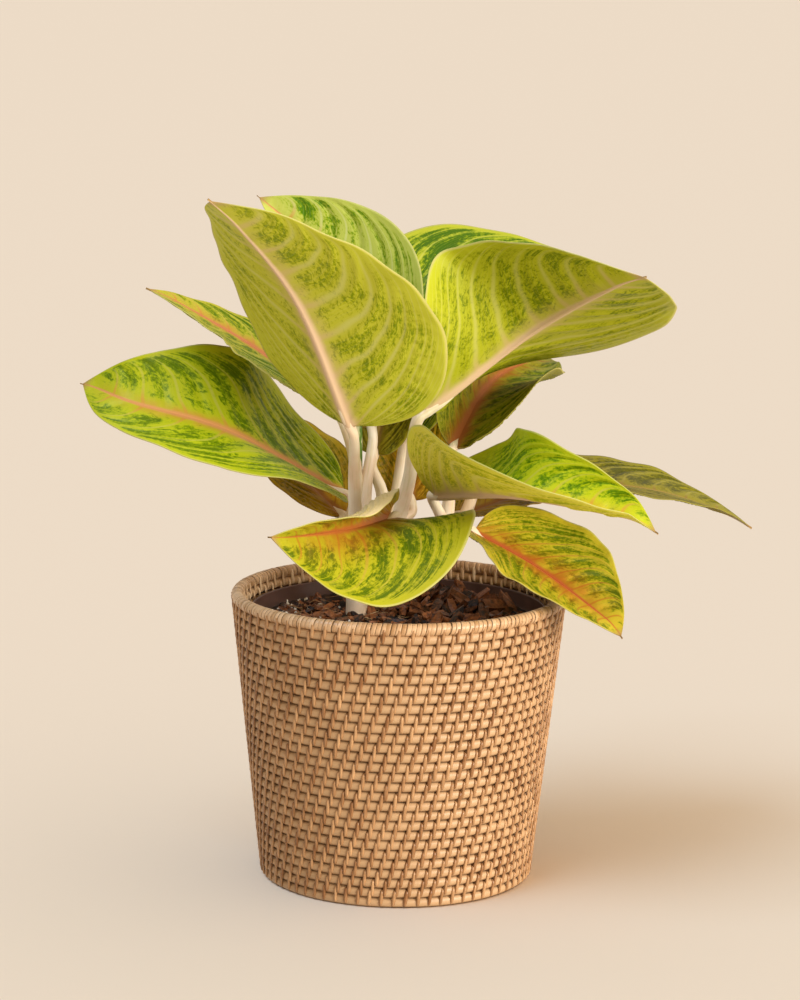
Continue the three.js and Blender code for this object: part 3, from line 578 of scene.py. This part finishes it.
def blade_piece(name, leaf):
    """Blade of two sheets joined at the margin. Rows lie square to the rib. Each half starts at its
    fold angle and bends by its curl angle up to the margin, an arc whose length is the half width;
    a roll limits the curl to a bell curve along the rib. The margin waves as a sum of sines along the
    leaf, the lamina bulges between lateral veins, the rounded base reaches back and the tip hooks
    as a square of the way past its start. Lateral veins leave the rib at equal steps and sweep
    forward by a cubic of the way to the margin. The underside has a half round rib, the upper side
    a shallow groove."""
    big = max(leaf["half"]) > 40
    rows = 130 if big else 90
    u = np.linspace(0, 1, rows + 1) ** 1.25
    middle, along = rib_line(leaf, u)
    normal = blade_normals(leaf, u, along)
    sideways = np.cross(along, normal)
    middle = middle + np.clip((u - 0.88) / 0.12, 0, 1)[:, None] ** 2 * np.array(leaf["hook"])
    rib_half = (RIB_HALF_WIDTH * (1 - u) + TIP_HALF_WIDTH * np.clip((1 - u) / 0.07, 0.15, 1) ** 0.7)[:, None]
    rib_steps = np.linspace(0, 1, 5)[1:]
    blade_steps = np.linspace(0, 1, 31 if big else 21)[1:]
    one = np.r_[-rib_steps, 1 + blade_steps]
    rib_part = np.r_[rib_steps, np.ones(len(blade_steps))]
    blade_part = np.r_[np.zeros(len(rib_steps)), blade_steps]
    side = np.r_[-np.ones(len(one)), 0, np.ones(len(one))]
    rib_part = np.r_[rib_part[::-1], 0, rib_part]
    blade_part = np.r_[blade_part[::-1], 0, blade_part]
    half, fold, fold_tip, curl, lobe = (
        np.asarray(leaf.get(key, leaf["fold"]), float)[(side > 0).astype(int)]
        for key in ("half", "fold", "fold_tip", "curl", "lobe"))
    shape = outline(u, leaf["full"])
    width = half * shape[:, None] + rib_half
    rib_share = 0.8 * rib_half / width
    a = rib_share * rib_part + (1 - rib_share) * blade_part
    column = u[:, None]
    fold = np.radians(fold + (fold_tip - fold) * column)
    fading = np.clip(3 * shape, 0, 1)
    if "roll" in leaf:
        fading = fading * np.exp(-((u - leaf["roll"][0]) / leaf["roll"][1]) ** 2)
    curl = np.radians(curl) * fading[:, None]
    curl = np.where(np.abs(curl) < 1e-3, 1e-3, curl)
    bend = fold + curl * a
    out = width * (np.sin(bend) - np.sin(fold)) / curl
    lift = width * (np.cos(fold) - np.cos(bend)) / curl
    wave = leaf["wave"] * np.sin(2 * np.pi * (2 * column + 0.35 * side + leaf["phase"])) * a ** 2
    ruffle = 0.8 * np.sin(2 * np.pi * (5.5 * column + 0.6 * side + leaf["phase"])) * a ** 4
    wave = (wave + ruffle) * np.sin(np.pi * column)
    back = lobe * shape[:, None] * a ** 2 * (1 - column) ** 3
    reach = a * width
    forward = 0.26 * a + 0.34 * a ** 3
    vein = VEIN_PAIRS * (column - forward) / (1 - forward)
    near = np.abs((vein + 0.5) % 1 - 0.5)
    calm = np.clip((a - rib_share) * 6, 0, 1) * np.clip((1 - a) * 5, 0, 1) * np.clip((1 - column) * 6, 0, 1)
    relief = VEIN_RELIEF * (1 - np.exp(-(near / 0.12) ** 2) - 0.6) * calm
    points = middle[:, None] + sideways[:, None] * (side * out)[..., None]
    points = points + normal[:, None] * (lift + wave)[..., None] - along[:, None] * back[..., None]
    skin = normal[:, None] * np.cos(bend)[..., None] - sideways[:, None] * (side * np.sin(bend))[..., None]
    skin = np.where((side == 0)[None, :, None], normal[:, None], skin)
    thin = 0.5 * (1.3 - 0.7 * a)
    half_round = np.sqrt(np.clip(1 - (a / rib_share) ** 2, 0, 1))
    round_rib = half_round * (RIB_DEPTH * (1 - column) + RIB_DEPTH_AT_TIP)
    round_rib = 0.55 * round_rib + 1.3 * (1 - column) ** 1.5 * np.exp(-(reach / 5.0) ** 2)
    groove = 0.6 * (1 - column) * np.exp(-(a / (0.7 * rib_share)) ** 2)
    upper = points + skin * (thin + relief - groove)[..., None]
    lower = points - skin * (thin - relief + round_rib)[..., None]
    columns = len(side)
    top = grid_faces(rows + 1, columns)
    under = top[:, ::-1] + (rows + 1) * columns
    first = np.arange(rows) * columns
    shift = (rows + 1) * columns
    left = np.stack([first, first + columns, first + columns + shift, first + shift], 1)
    right = (left + columns - 1)[:, ::-1]
    across = np.arange(columns - 1)
    base = np.stack([across, across + shift, across + 1 + shift, across + 1], 1)
    tip = (base + rows * columns)[:, ::-1]
    faces = np.concatenate([top, under, left, right, base, tip])
    slots = np.r_[np.zeros(len(top)), np.ones(len(under)), np.zeros(len(faces) - len(top) - len(under))]
    veins = np.tile(np.stack([vein, side * reach, 0 * a], -1).reshape(-1, 3), (2, 1))
    blade = np.tile(np.stack([column + 0 * a, a, 0 * a], -1).reshape(-1, 3), (2, 1))
    seed = float(list(LEAVES).index(name)) * 3.7
    materials = [
        leaf_material(name.replace("leaf", skin), look, seed + later) for skin, look, later in zip(
            ("leaf_upper_skin", "leaf_under_skin"), LOOKS[leaf["look"]], (0.0, 1.3))]
    points = np.concatenate([upper.reshape(-1, 3), lower.reshape(-1, 3)])
    piece = mesh_piece(
        name + "_blade", (points, faces, NO_FACES, None), materials, slots, veins=veins, blade=blade)
    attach(piece, "root")
    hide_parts(name)


def tube(path, radii, rows, sides, tone=0.0, wobble=0.0):
    """Round bar along a centripetal curve: circles square to the curve, turned as little as can be
    from one to the next, with a point at each end. Gives points, four and three cornered faces and
    the place round it, along it and its tone, for each point."""
    t = np.linspace(0, 1, rows + 1)
    centre = centripetal_curve(path, t)
    along = unit(np.gradient(centre, axis=0))
    frames = [unit(np.cross(along[0], [0.3, 1.0, 0.2]))]
    for row in range(1, rows + 1):
        kept = frames[-1] - np.dot(frames[-1], along[row]) * along[row]
        frames.append(unit(kept))
    first = np.array(frames)
    second = np.cross(along, first)
    angle = np.arange(sides) / sides * 2 * np.pi
    radius = np.interp(t, np.linspace(0, 1, len(radii)), radii)[:, None]
    radius = radius * (1 + wobble * np.sin(2 * angle + 9 * t[:, None]))
    ring = centre[:, None] + first[:, None] * (radius * np.cos(angle))[..., None]
    ring = ring + second[:, None] * (radius * np.sin(angle))[..., None]
    run = np.r_[0, np.cumsum(np.linalg.norm(np.diff(centre, axis=0), axis=1))]
    lie = np.stack([angle + 0 * t[:, None], 0.1 * run[:, None] + 0 * angle, tone + 0 * radius], -1)
    points = np.concatenate([ring.reshape(-1, 3), centre[[0, -1]]])
    lie = np.concatenate([lie.reshape(-1, 3), [[0, 0, tone], [0, 0.1 * run[-1], tone]]])
    return points, *bar_faces(rows + 1, sides), lie


def joined(parts):
    """Several shapes as one."""
    points, quads, triangles, lies = zip(*parts)
    shifts = np.r_[0, np.cumsum([len(p) for p in points])[:-1]]
    quads, triangles = (
        np.concatenate([f + shift for f, shift in zip(faces, shifts)]) for faces in (quads, triangles))
    return np.concatenate(points), quads, triangles, np.concatenate(lies)


def stem_piece(name, stem, material):
    """Cane with its petioles. Each petiole runs on under its blade's rib and thins out there."""
    path, radii = stem["cane"]
    parts = [tube(path, radii, 40, 28, wobble=0.02)]
    for number, (leaf_name, start) in enumerate(stem["petioles"].items()):
        leaf = LEAVES[leaf_name]
        widths = THICKER.get(leaf_name, PETIOLE_RADII)
        u = np.array([0.0, 0.05, 0.12])
        rib, along = rib_line(leaf, u)
        under = rib - blade_normals(leaf, u, along) * np.array([0.0, 1.5, 1.6])[:, None]
        route = [*start, tuple(rib[0] - along[0] * 8), *map(tuple, under)]
        widths = [*widths, widths[-1], widths[-1] * 0.62, 0.9]
        parts.append(tube(route, widths, 60, 20, tone=number * 2.3, wobble=0.05))
    piece = mesh_piece(name + "_canes", joined(parts), [material])
    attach(piece, "root")
    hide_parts(name)


def young_leaf_piece():
    """Rolled young leaf: a bar, a little oval, that tapers to a point."""
    piece = mesh_piece("young_leaf", tube(*YOUNG_LEAF, 60, 24, wobble=0.06), [young_leaf_material()])
    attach(piece, "root")
    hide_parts("new_leaf_rolled")


# Basket

def wall_radius(z):
    """The basket's outer radius, which grows evenly from the foot to the rim."""
    return FOOT_RADIUS + (RIM_RADIUS - FOOT_RADIUS) * z / BASKET_HEIGHT


def cane_rings(count, around):
    """Faces of rings of cane with eight sides, and the ring, bearing and section angle of each point."""
    ring, theta, phi = np.meshgrid(
        np.arange(count), np.arange(around) / around * 2 * np.pi, np.arange(8) / 8 * 2 * np.pi + np.pi / 8,
        indexing="ij")
    faces = grid_faces(around, 8, wrap_columns=True, wrap_rows=True)[:, ::-1]
    return copied(faces, count, around * 8), ring, theta, phi


def spun(radius, theta, z):
    """Points at a radius and bearing."""
    return np.stack([radius * np.cos(theta), radius * np.sin(theta), z], -1).reshape(-1, 3)


def coil_rings():
    """Coils of the wall: one ring a row, each a circle of cane carried round the wall's radius, a
    little uneven. The lie is along the cane, how deep in the seam for painted shade, and a tone for each row."""
    faces, row, theta, phi = cane_rings(COIL_ROWS, 180)
    z = FOOT_ROW + PITCH * row
    uneven = 1 + 0.02 * np.sin(7 * theta + z) + 0.02 * np.sin(13 * theta - 2 * z)
    cane = COIL_RADIUS * uneven
    points = spun(wall_radius(z) - CANE_INSET + cane * np.cos(phi), theta, z + cane * np.sin(phi))
    # the second number, high at each coil's top and bottom, sets the painted shade in the seams
    lie = np.stack([9.0 * phi, np.abs(np.sin(phi)) ** 4, theta * 4.0 + 7.0 * z], -1)
    return points, faces, NO_FACES, lie.reshape(-1, 3)


def strip_rows(first, last):
    """Row, counted from the rim down, and number in its row of each strip of some rows."""
    return (g.ravel() for g in np.meshgrid(np.arange(first, last), np.arange(STRIPS), indexing="ij"))


def strip_solids(theta, row, start_share, seed, inward=False):
    """Binding strips, each a closed band of five corners carried down the wall over two coils. It
    comes out of the seam above its row's coil, bows over both coils, dips a little between them and
    goes into the lower seam; it narrows towards both ends and leans. theta and row hold one number a
    strip, and the first share of each strip is left out."""
    seam = FOOT_ROW + PITCH * (COIL_ROWS - 1 - row) - PITCH / 2
    z_top, z_bottom = seam + PITCH, seam - PITCH
    random = np.random.default_rng(seed)
    count = len(theta)
    s = np.linspace(start_share, 1, 8)
    ends = np.abs(2 * s - 1)
    z = z_top[:, None] + (z_bottom - z_top)[:, None] * s
    bow = 0.7 - 3.4 * ends ** 7 - 0.3 * np.exp(-((s - 0.5) / 0.12) ** 2)
    half = STRIP_HALF_WIDTH * (1 - 0.5 * ends ** 3) * random.uniform(0.85, 1.15, (count, 1))
    corners_side = np.array([-1.0, -0.45, 0.45, 1.0, 0.0])
    corners_out = np.array([-0.55, 0.2, 0.2, -0.55, -1.1])
    lean = -random.uniform(0.5, 0.95, (count, 1)) * (2 * s - 1)
    sign = -1.0 if inward else 1.0
    base = wall_radius(z) - (2 * COIL_RADIUS if inward else 0.2)
    radius = base[..., None] + sign * (bow[None, :, None] + corners_out)
    offset = lean[..., None] + half[..., None] * corners_side
    angle = theta[:, None, None] + offset / base[..., None]
    points = spun(radius, angle, z[..., None] + 0 * angle)
    tone = random.uniform(0, 14, (count, 1, 1))
    # how far into the seam: the material paints the strip in shade as it goes in
    depth = np.clip(ends ** 5, 0, 1)[None, :, None] + 0 * angle
    lie = np.stack(np.broadcast_arrays(corners_side * 3.0 + tone, depth, tone), -1)
    sides = grid_faces(len(s), 5, wrap_columns=True)
    caps = np.array([[0, 4, 3], [0, 3, 2], [0, 2, 1]])
    caps = np.concatenate([caps, caps[:, ::-1] + (len(s) - 1) * 5])
    quads, triangles = (copied(f if inward else f[:, ::-1], count, len(s) * 5) for f in (sides, caps))
    return points, quads, triangles, lie.reshape(-1, 3)


def rim_wraps():
    """Wraps of the rim coil: flat bands, each carried once round the coil's section, side by side
    and leaning, three to each long strip."""
    random = np.random.default_rng(5)
    count = STRIPS * RIM_WRAPS_PER_STRIP
    theta = (np.arange(count) + random.uniform(-0.12, 0.12, count)) / count * 2 * np.pi
    phi = (np.arange(14) / 14 * 2 * np.pi)[None, :, None]
    corners_side = np.array([-1.0, -0.6, 0.6, 1.0])
    corners_out = np.array([0.4, 0.52, 0.52, 0.4])
    half = np.pi * RIM_RADIUS / count * random.uniform(0.95, 1.05, (count, 1, 1))
    cane = COIL_RADIUS + 0.05 + corners_out * random.uniform(0.8, 1.25, (count, 1, 1))
    angle = theta[:, None, None] + (corners_side * half + 0.9 * np.sin(phi)) / RIM_RADIUS
    points = spun(wall_radius(TOP_ROW) - CANE_INSET + cane * np.cos(phi), angle, TOP_ROW + cane * np.sin(phi))
    tone = random.uniform(0, 14, (count, 1, 1)) + 0 * angle
    lie = np.stack([corners_side * 3.0 + tone, 0.1 * np.abs(corners_side) + 0 * angle, tone], -1)
    faces = grid_faces(14, 4, wrap_columns=True, wrap_rows=True)[:, ::-1]
    return points, copied(faces, count, 14 * 4), NO_FACES, lie.reshape(-1, 3)


def base_rings():
    """Coils of the basket's bottom: flat rings of cane, one inside the other, down to a small one."""
    faces, ring, theta, phi = cane_rings(BOTTOM_COILS, 96)
    r = FOOT_RADIUS - CANE_INSET - 6.9 * (ring + 1)
    points = spun(r + BOTTOM_CANE * np.cos(phi), theta, BOTTOM_LEVEL + BOTTOM_CANE * np.sin(phi))
    # the second number, high at each ring's inner and outer sides, sets painted shade between rings
    lie = np.stack([9.0 * phi, np.abs(np.cos(phi)) ** 2, theta * 4.0 + r], -1)
    return points, faces, NO_FACES, lie.reshape(-1, 3)


def basket_pieces():
    """The basket's coils, strips, rim and bottom. Each row of strips starts a share of a step further
    round than the last, and covers the seam between its two coils."""
    core = rattan_material("peeled_rattan_core", "#c49f75", "#93653c", "#54301a", 0.38)
    cane = rattan_material("split_rattan_binding", "#cda172", "#885930", "#4c2a14", 0.3)
    # the rim wraps get a paler copy of the binding: partly the rim's own paler cane, partly painted light on
    # the rim's top
    rim_cane_painted_light = rattan_material("split_rattan_rim_wrap", "#e0ba90", "#b4895c", "#6c4526", 0.32)
    # the inner strips get a much paler copy of the binding, seams too: painted light on the shaded inner wall
    lining_cane_painted_light = rattan_material("rattan_lining_painted_light", "#f0d4ae", "#cfa679", "#8c6642", 0.5)
    step = 2 * np.pi / STRIPS
    random = np.random.default_rng(11)
    row, strip = strip_rows(1, COIL_ROWS - 1)
    theta = (strip - row * STRIP_SHIFT + random.uniform(-0.05, 0.05, len(strip))) * step
    outer = strip_solids(theta, row, 0.0, seed=2)
    row, strip = strip_rows(0, 1)
    top = strip_solids((strip + random.uniform(-0.05, 0.05, STRIPS)) * step, row, 0.22, seed=3)
    row, strip = strip_rows(0, INNER_ROWS)
    inner = strip_solids((strip + row * STRIP_SHIFT) * step, row, 0.0, inward=True, seed=4)
    parts = {
        "basket_coils": (coil_rings(), core), "basket_binding": (joined([outer, top]), cane),
        "basket_inner_binding": (inner, lining_cane_painted_light), "basket_rim_wraps": (rim_wraps(), rim_cane_painted_light),
        "basket_bottom_coils": (base_rings(), core)}
    pieces = [mesh_piece(name, shape, [material]) for name, (shape, material) in parts.items()]
    for piece in pieces:
        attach(piece, "root")
        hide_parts("basket")
    return pieces[:2]


# Nursery pot and potting mix

def turned(profile, sides):
    """Profile of radius and height pairs carried round the Z axis; its first and last points lie on
    the axis."""
    profile = np.asarray(profile, float)
    angle = np.arange(sides) / sides * 2 * np.pi
    ring = profile[1:-1]
    points = spun(ring[:, :1], angle, ring[:, 1:] + 0 * angle)
    points = np.concatenate([points, [[0, 0, profile[0, 1]], [0, 0, profile[-1, 1]]]])
    return points, *bar_faces(len(ring), sides)


def pot_outer(z):
    """The pot's outer radius below its band, which grows evenly upwards."""
    height = POT_TOP - POT_BAND - POT_BOTTOM
    return POT_FOOT_RADIUS + (POT_SHOULDER_RADIUS - POT_FOOT_RADIUS) * (z - POT_BOTTOM) / height


def pot_piece():
    """Nursery pot: tapered tub, its rim a wider band with rounded edges."""
    shoulder = POT_TOP - POT_BAND
    rim = POT_RIM_RADIUS
    lip = [
        (rim - LIP_RADIUS + LIP_RADIUS * math.cos(a), POT_TOP - LIP_RADIUS + LIP_RADIUS * math.sin(a))
        for a in np.linspace(0, math.pi, 7)]
    profile = [
        (0, POT_BOTTOM), (POT_FOOT_RADIUS - 3, POT_BOTTOM), (POT_FOOT_RADIUS - 0.8, POT_BOTTOM + 0.8),
        (POT_FOOT_RADIUS, POT_BOTTOM + 3), (POT_SHOULDER_RADIUS, shoulder - 0.5),
        (POT_SHOULDER_RADIUS + 0.8, shoulder + 0.2), (rim - 1.0, shoulder + 0.6), (rim - 0.4, shoulder + 1.5),
        *lip, (rim - 2.2, shoulder + 5), (rim - 3.2, shoulder + 3), (POT_SHOULDER_RADIUS - POT_WALL, shoulder),
        (pot_outer(POT_BOTTOM + 2) - POT_WALL, POT_BOTTOM + 2), (0, POT_BOTTOM + 2)]
    piece = mesh_piece("nursery_pot_tub", (*turned(profile, 144), None), [pot_material()])
    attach(piece, "root")
    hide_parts("nursery_pot")


def hills(x, y, size, height, seed, waves=14):
    """Rough ground: a sum of sine waves in random directions, each with a length near the size and
    its share of the height."""
    random = np.random.default_rng(seed)
    total = np.zeros_like(x)
    for bearing, phase, stretch in random.uniform(0, 1, (waves, 3)):
        k = 2 * np.pi / (size * (0.6 + 0.8 * stretch))
        total += np.sin(k * (x * math.cos(6.283 * bearing) + y * math.sin(6.283 * bearing)) + 6.283 * phase)
    return total * height / math.sqrt(waves)


def mix_ground():
    """Surface of the potting mix: rings to the pot's wall, raised by hills of three sizes, and the
    plain body of the mix below it."""
    edge = POT_SHOULDER_RADIUS - POT_WALL - 0.35
    rings = np.linspace(edge, 2.0, 60)
    floor = POT_BOTTOM + 2.4
    profile = [(0, floor), (POT_FOOT_RADIUS - 3, floor), (edge - 0.4, POT_TOP - POT_BAND - 1)]
    profile += [(r, MIX_LEVEL - 1.5) for r in rings] + [(0, MIX_LEVEL)]
    points, quads, triangles = turned(profile, 160)
    x, y, z = points.T
    top = (z > MIX_LEVEL - 2) & (np.hypot(x, y) < edge - 0.6)
    rough = hills(x, y, 26, 1.1, 3) + hills(x, y, 9, 0.8, 4) + hills(x, y, 3.5, 0.45, 6)
    points[:, 2] = np.where(top, z + np.clip(rough, -3.0, 3.2), z)
    lie = np.stack([x, y, hills(x, y, 12, 0.5, 8) + 0.5], -1)
    return points, quads, triangles, lie


def chunks(count, sizes, reach, lift, seed, flat, spread, bearings=(0.0, 1.0), tone=(0.0, 1.0)):
    """Broken pieces: a box of 3 by 2 cells and 1 layer, every corner moved at random, its ends drawn
    in, tilted and turned at random and laid on the mix. sizes are the least and greatest length,
    width and thickness."""
    random = np.random.default_rng(seed)
    gx, gy, gz = np.meshgrid(np.linspace(-1, 1, 4), np.linspace(-1, 1, 3), [-1.0, 1.0], indexing="ij")
    box = np.stack([gx, gy, gz], -1).reshape(-1, 3)
    number = np.arange(24).reshape(4, 3, 2)
    cells = []
    for a, outward in (
            (number[:, :, 0], False), (number[:, :, 1], True), (number[0], False), (number[3], True),
            (number[:, 0], True), (number[:, 2], False)):
        sheet = np.stack([a[:-1, :-1], a[1:, :-1], a[1:, 1:], a[:-1, 1:]], -1).reshape(-1, 4)
        cells.append(sheet if outward else sheet[:, ::-1])
    size = random.uniform(sizes[0], sizes[1], (count, 3)) / 2
    shape = box[None] * (1 + random.uniform(-0.22, 0.22, (count, 24, 3)))
    shape[..., 1] *= 1 - 0.35 * np.abs(box[:, 0]) * random.uniform(0, 1, (count, 1))
    shape[..., 2] += 0.35 * random.uniform(-1, 1, (count, 1)) * box[:, 0] ** 2
    shape = shape * size[:, None]
    tilt = random.uniform(-flat, flat, (count, 2))
    turn_z = random.uniform(0, 2 * np.pi, count)
    for one, other, angle in ((1, 2, tilt[:, 0]), (2, 0, tilt[:, 1]), (0, 1, turn_z)):
        cosine, sine = np.cos(angle)[:, None], np.sin(angle)[:, None]
        p, q = shape[..., one], shape[..., other]
        shape[..., one], shape[..., other] = p * cosine - q * sine, p * sine + q * cosine
    bearing = 2 * np.pi * random.uniform(*bearings, count)
    away = reach[0] + (reach[1] - reach[0]) * random.uniform(0, 1, count) ** spread
    cx, cy = away * np.cos(bearing), away * np.sin(bearing)
    limit = POT_SHOULDER_RADIUS - POT_WALL - 1.5
    level = MIX_LEVEL - 1.5 + hills(cx, cy, 26, 1.1, 3) + random.uniform(*lift, count)
    x, y = shape[..., 0] + cx[:, None], shape[..., 1] + cy[:, None]
    over = np.maximum(1, np.hypot(x, y) / limit)
    points = np.stack([x / over, y / over, shape[..., 2] + level[:, None]], -1)
    lie = np.zeros((count, 24, 3))
    lie[..., 2] = random.uniform(*tone, (count, 1))
    return points.reshape(-1, 3), copied(np.concatenate(cells), count, 24), NO_FACES, lie.reshape(-1, 3)


def fibres(count, seed):
    """Fine dry roots: thin three sided bars, each a short arc that lies on the mix and lifts a little
    in its middle."""
    random = np.random.default_rng(seed)
    t = np.linspace(-1, 1, 7)
    length = random.uniform(3.5, 9.0, (count, 1))
    bow = random.uniform(-0.7, 0.7, (count, 1))
    bearing = random.uniform(0, 2 * np.pi, (count, 1))
    away = 84 * np.sqrt(random.uniform(0, 1, (count, 1)))
    at = random.uniform(0, 2 * np.pi, (count, 1))
    along = length * t
    aside = length * bow * (t ** 2 - 0.5)
    x = away * np.cos(at) + along * np.cos(bearing) - aside * np.sin(bearing)
    y = away * np.sin(at) + along * np.sin(bearing) + aside * np.cos(bearing)
    level = MIX_LEVEL + 0.5 + hills(x, y, 26, 1.1, 3) + random.uniform(-0.5, 2.2, (count, 1)) * (1 - t ** 2)
    centre = np.stack([x, y, level], -1)
    angle = np.arange(3) / 3 * 2 * np.pi
    thin = random.uniform(0.2, 0.42, (count, 1, 1)) * (1 - 0.6 * np.abs(t))[None, :, None]
    across = np.stack([-np.sin(bearing), np.cos(bearing), 0 * bearing], -1)
    points = centre[:, :, None] + across[:, :, None] * (thin * np.cos(angle))[..., None]
    points = points + np.array([0, 0, 1.0]) * (thin * np.sin(angle))[..., None]
    sides, caps = grid_faces(7, 3, wrap_columns=True), np.array([[0, 2, 1], [18, 19, 20]])
    lie = np.zeros(points.shape)
    lie[..., 2] = random.uniform(0, 1, (count, 1, 1))
    return points.reshape(-1, 3), copied(sides, count, 21), copied(caps, count, 21), lie.reshape(-1, 3)


def mix_pieces():
    """The mix's ground, with bark in three sizes, roots and perlite lying on it, all but the ground
    flat shaded."""
    soil = earthy_material("peat_and_bark_crumb", "#1a0f09", "#432b1b", 260.0, 0.95)
    bark = earthy_material("pine_bark_chip", "#1a0c06", "#b26c3c", 320.0, 0.48)
    root = earthy_material("dry_root_fibre", "#8a6440", "#c9a678", 200.0, 0.8)
    perlite = earthy_material("expanded_perlite", "#cfc3b2", "#f2ece0", 500.0, 0.9)
    parts = {
        "potting_mix_ground": (mix_ground(), soil),
        "potting_mix_bark": (joined([
            chunks(120, ((12, 5, 2.4), (28, 10, 6.5)), (16, 84), (1.0, 5.5), 21, 0.75, 0.6, (-0.25, 0.25)),
            chunks(150, ((7, 3, 1.2), (17, 7, 3.5)), (8, 86), (0.0, 3.4), 22, 0.6, 0.6),
            chunks(600, ((2.5, 1.4, 0.8), (8, 4, 2.4)), (5, 90), (-0.6, 1.8), 23, 0.8, 0.55)]), bark),
        "potting_mix_roots": (fibres(170, 31), root),
        "potting_mix_perlite": (
            chunks(100, ((0.9, 0.8, 0.7), (2.3, 2.0, 1.7)), (30, 90), (1.0, 3.0), 41, 1.0, 0.5, (0.38, 0.8)),
            perlite),
    }
    for name, (shape, material) in parts.items():
        piece = mesh_piece(name, shape, [material])
        if name != "potting_mix_ground":
            piece.data.polygons.foreach_set("use_smooth", np.zeros(len(piece.data.polygons), bool))
        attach(piece, "root")
        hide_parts("potting_mix")


# Camera, lights and floor

def screen(lamp, pieces):
    """A screen between a light and some pieces: it doesn't light them, though they still cast its
    shadow."""
    group = bpy.data.collections.new(lamp.name + "_screen")
    for piece in pieces:
        group.objects.link(piece)
    for member in group.collection_objects:
        member.light_linking.link_state = "EXCLUDE"
    lamp.light_linking.receiver_collection = group


FLOOR_REACH = 60000.0


def set_stage():
    """Pale matt floor that runs to the horizon, warm even air that is brightest overhead and on the
    right, a cool soft light high on the left for the shadow, and a large low one on the right, screened
    from the floor."""
    scene = bpy.context.scene
    scene.view_settings.view_transform = "Standard"
    floor_material = new_material(
        "painted_board_pale_beige", Base_Color=linear("#eddcc6"), Roughness=0.9, Specular_IOR_Level=0.1)[0]
    corners = FLOOR_REACH * np.array([[-1.0, -1, 0], [1, -1, 0], [1, 1, 0], [-1, 1, 0]])
    floor = mesh_piece("floor", (corners, np.array([[0, 1, 2, 3]]), NO_FACES, None), [floor_material])
    world = bpy.data.worlds.new("studio_air")
    scene.world = world
    world.use_nodes = True
    air = world.node_tree
    towards = add_node(air, "ShaderNodeTexCoord").outputs["Generated"]
    height = add_node(
        air, "ShaderNodeVectorMath", {"operation": "DOT_PRODUCT"}, {0: towards, 1: (0.35, -0.05, 0.88)})
    height = add_node(air, RANGE, None, {0: height.outputs["Value"], 1: -0.4, 2: 1.0, 3: 0.14, 4: 1.06})
    air.links.new(height.outputs[0], air.nodes["Background"].inputs["Strength"])
    air.nodes["Background"].inputs["Color"].default_value = linear("#ffeeda")
    lamps = []
    for name, bearing, height, strength, width, tint in (
            ("light_high_left", -138.0, 58.0, 1.7, 34.0, "#b8dcff"),
            ("light_low_right", -40.0, 12.0, 4.6, 45.0, "#fff8ee")):
        lamp = bpy.data.lights.new(name, "SUN")
        lamp.energy = strength
        lamp.angle = math.radians(width)
        lamp.color = linear(tint)[:3]
        lamp_object = bpy.data.objects.new(name, lamp)
        a, e = math.radians(bearing), math.radians(height)
        lamp_object.matrix_world = Matrix.Rotation(a, 4, "Z") @ Matrix.Rotation(math.pi / 2 - e, 4, "Y")
        scene.collection.objects.link(lamp_object)
        lamps.append(lamp_object)
    screen(lamps[1], [floor])
    camera = bpy.data.cameras.new("camera")
    camera.lens = 118.26
    camera.sensor_width = 36.0
    camera.clip_start, camera.clip_end = 0.1, 200.0
    camera_object = bpy.data.objects.new("camera", camera)
    tilt = Matrix.Rotation(math.radians(90 - 10.3), 4, "X")
    roll = Matrix.Rotation(0.0127, 4, "Z")
    camera_object.matrix_world = Matrix.Translation((0, -2.2, 0.66)) @ tilt @ roll
    scene.collection.objects.link(camera_object)
    scene.camera = camera_object
    return lamps


lights = set_stage()
# the high left light casts the shadow, but would wash out the weave
screen(lights[0], basket_pieces())
pot_piece()
mix_pieces()
stalk = petiole_material()
for stem_name, stem_parts in STEMS.items():
    stem_piece(stem_name, stem_parts, stalk)
young_leaf_piece()
for leaf_name, leaf_parts in LEAVES.items():
    blade_piece(leaf_name, leaf_parts)
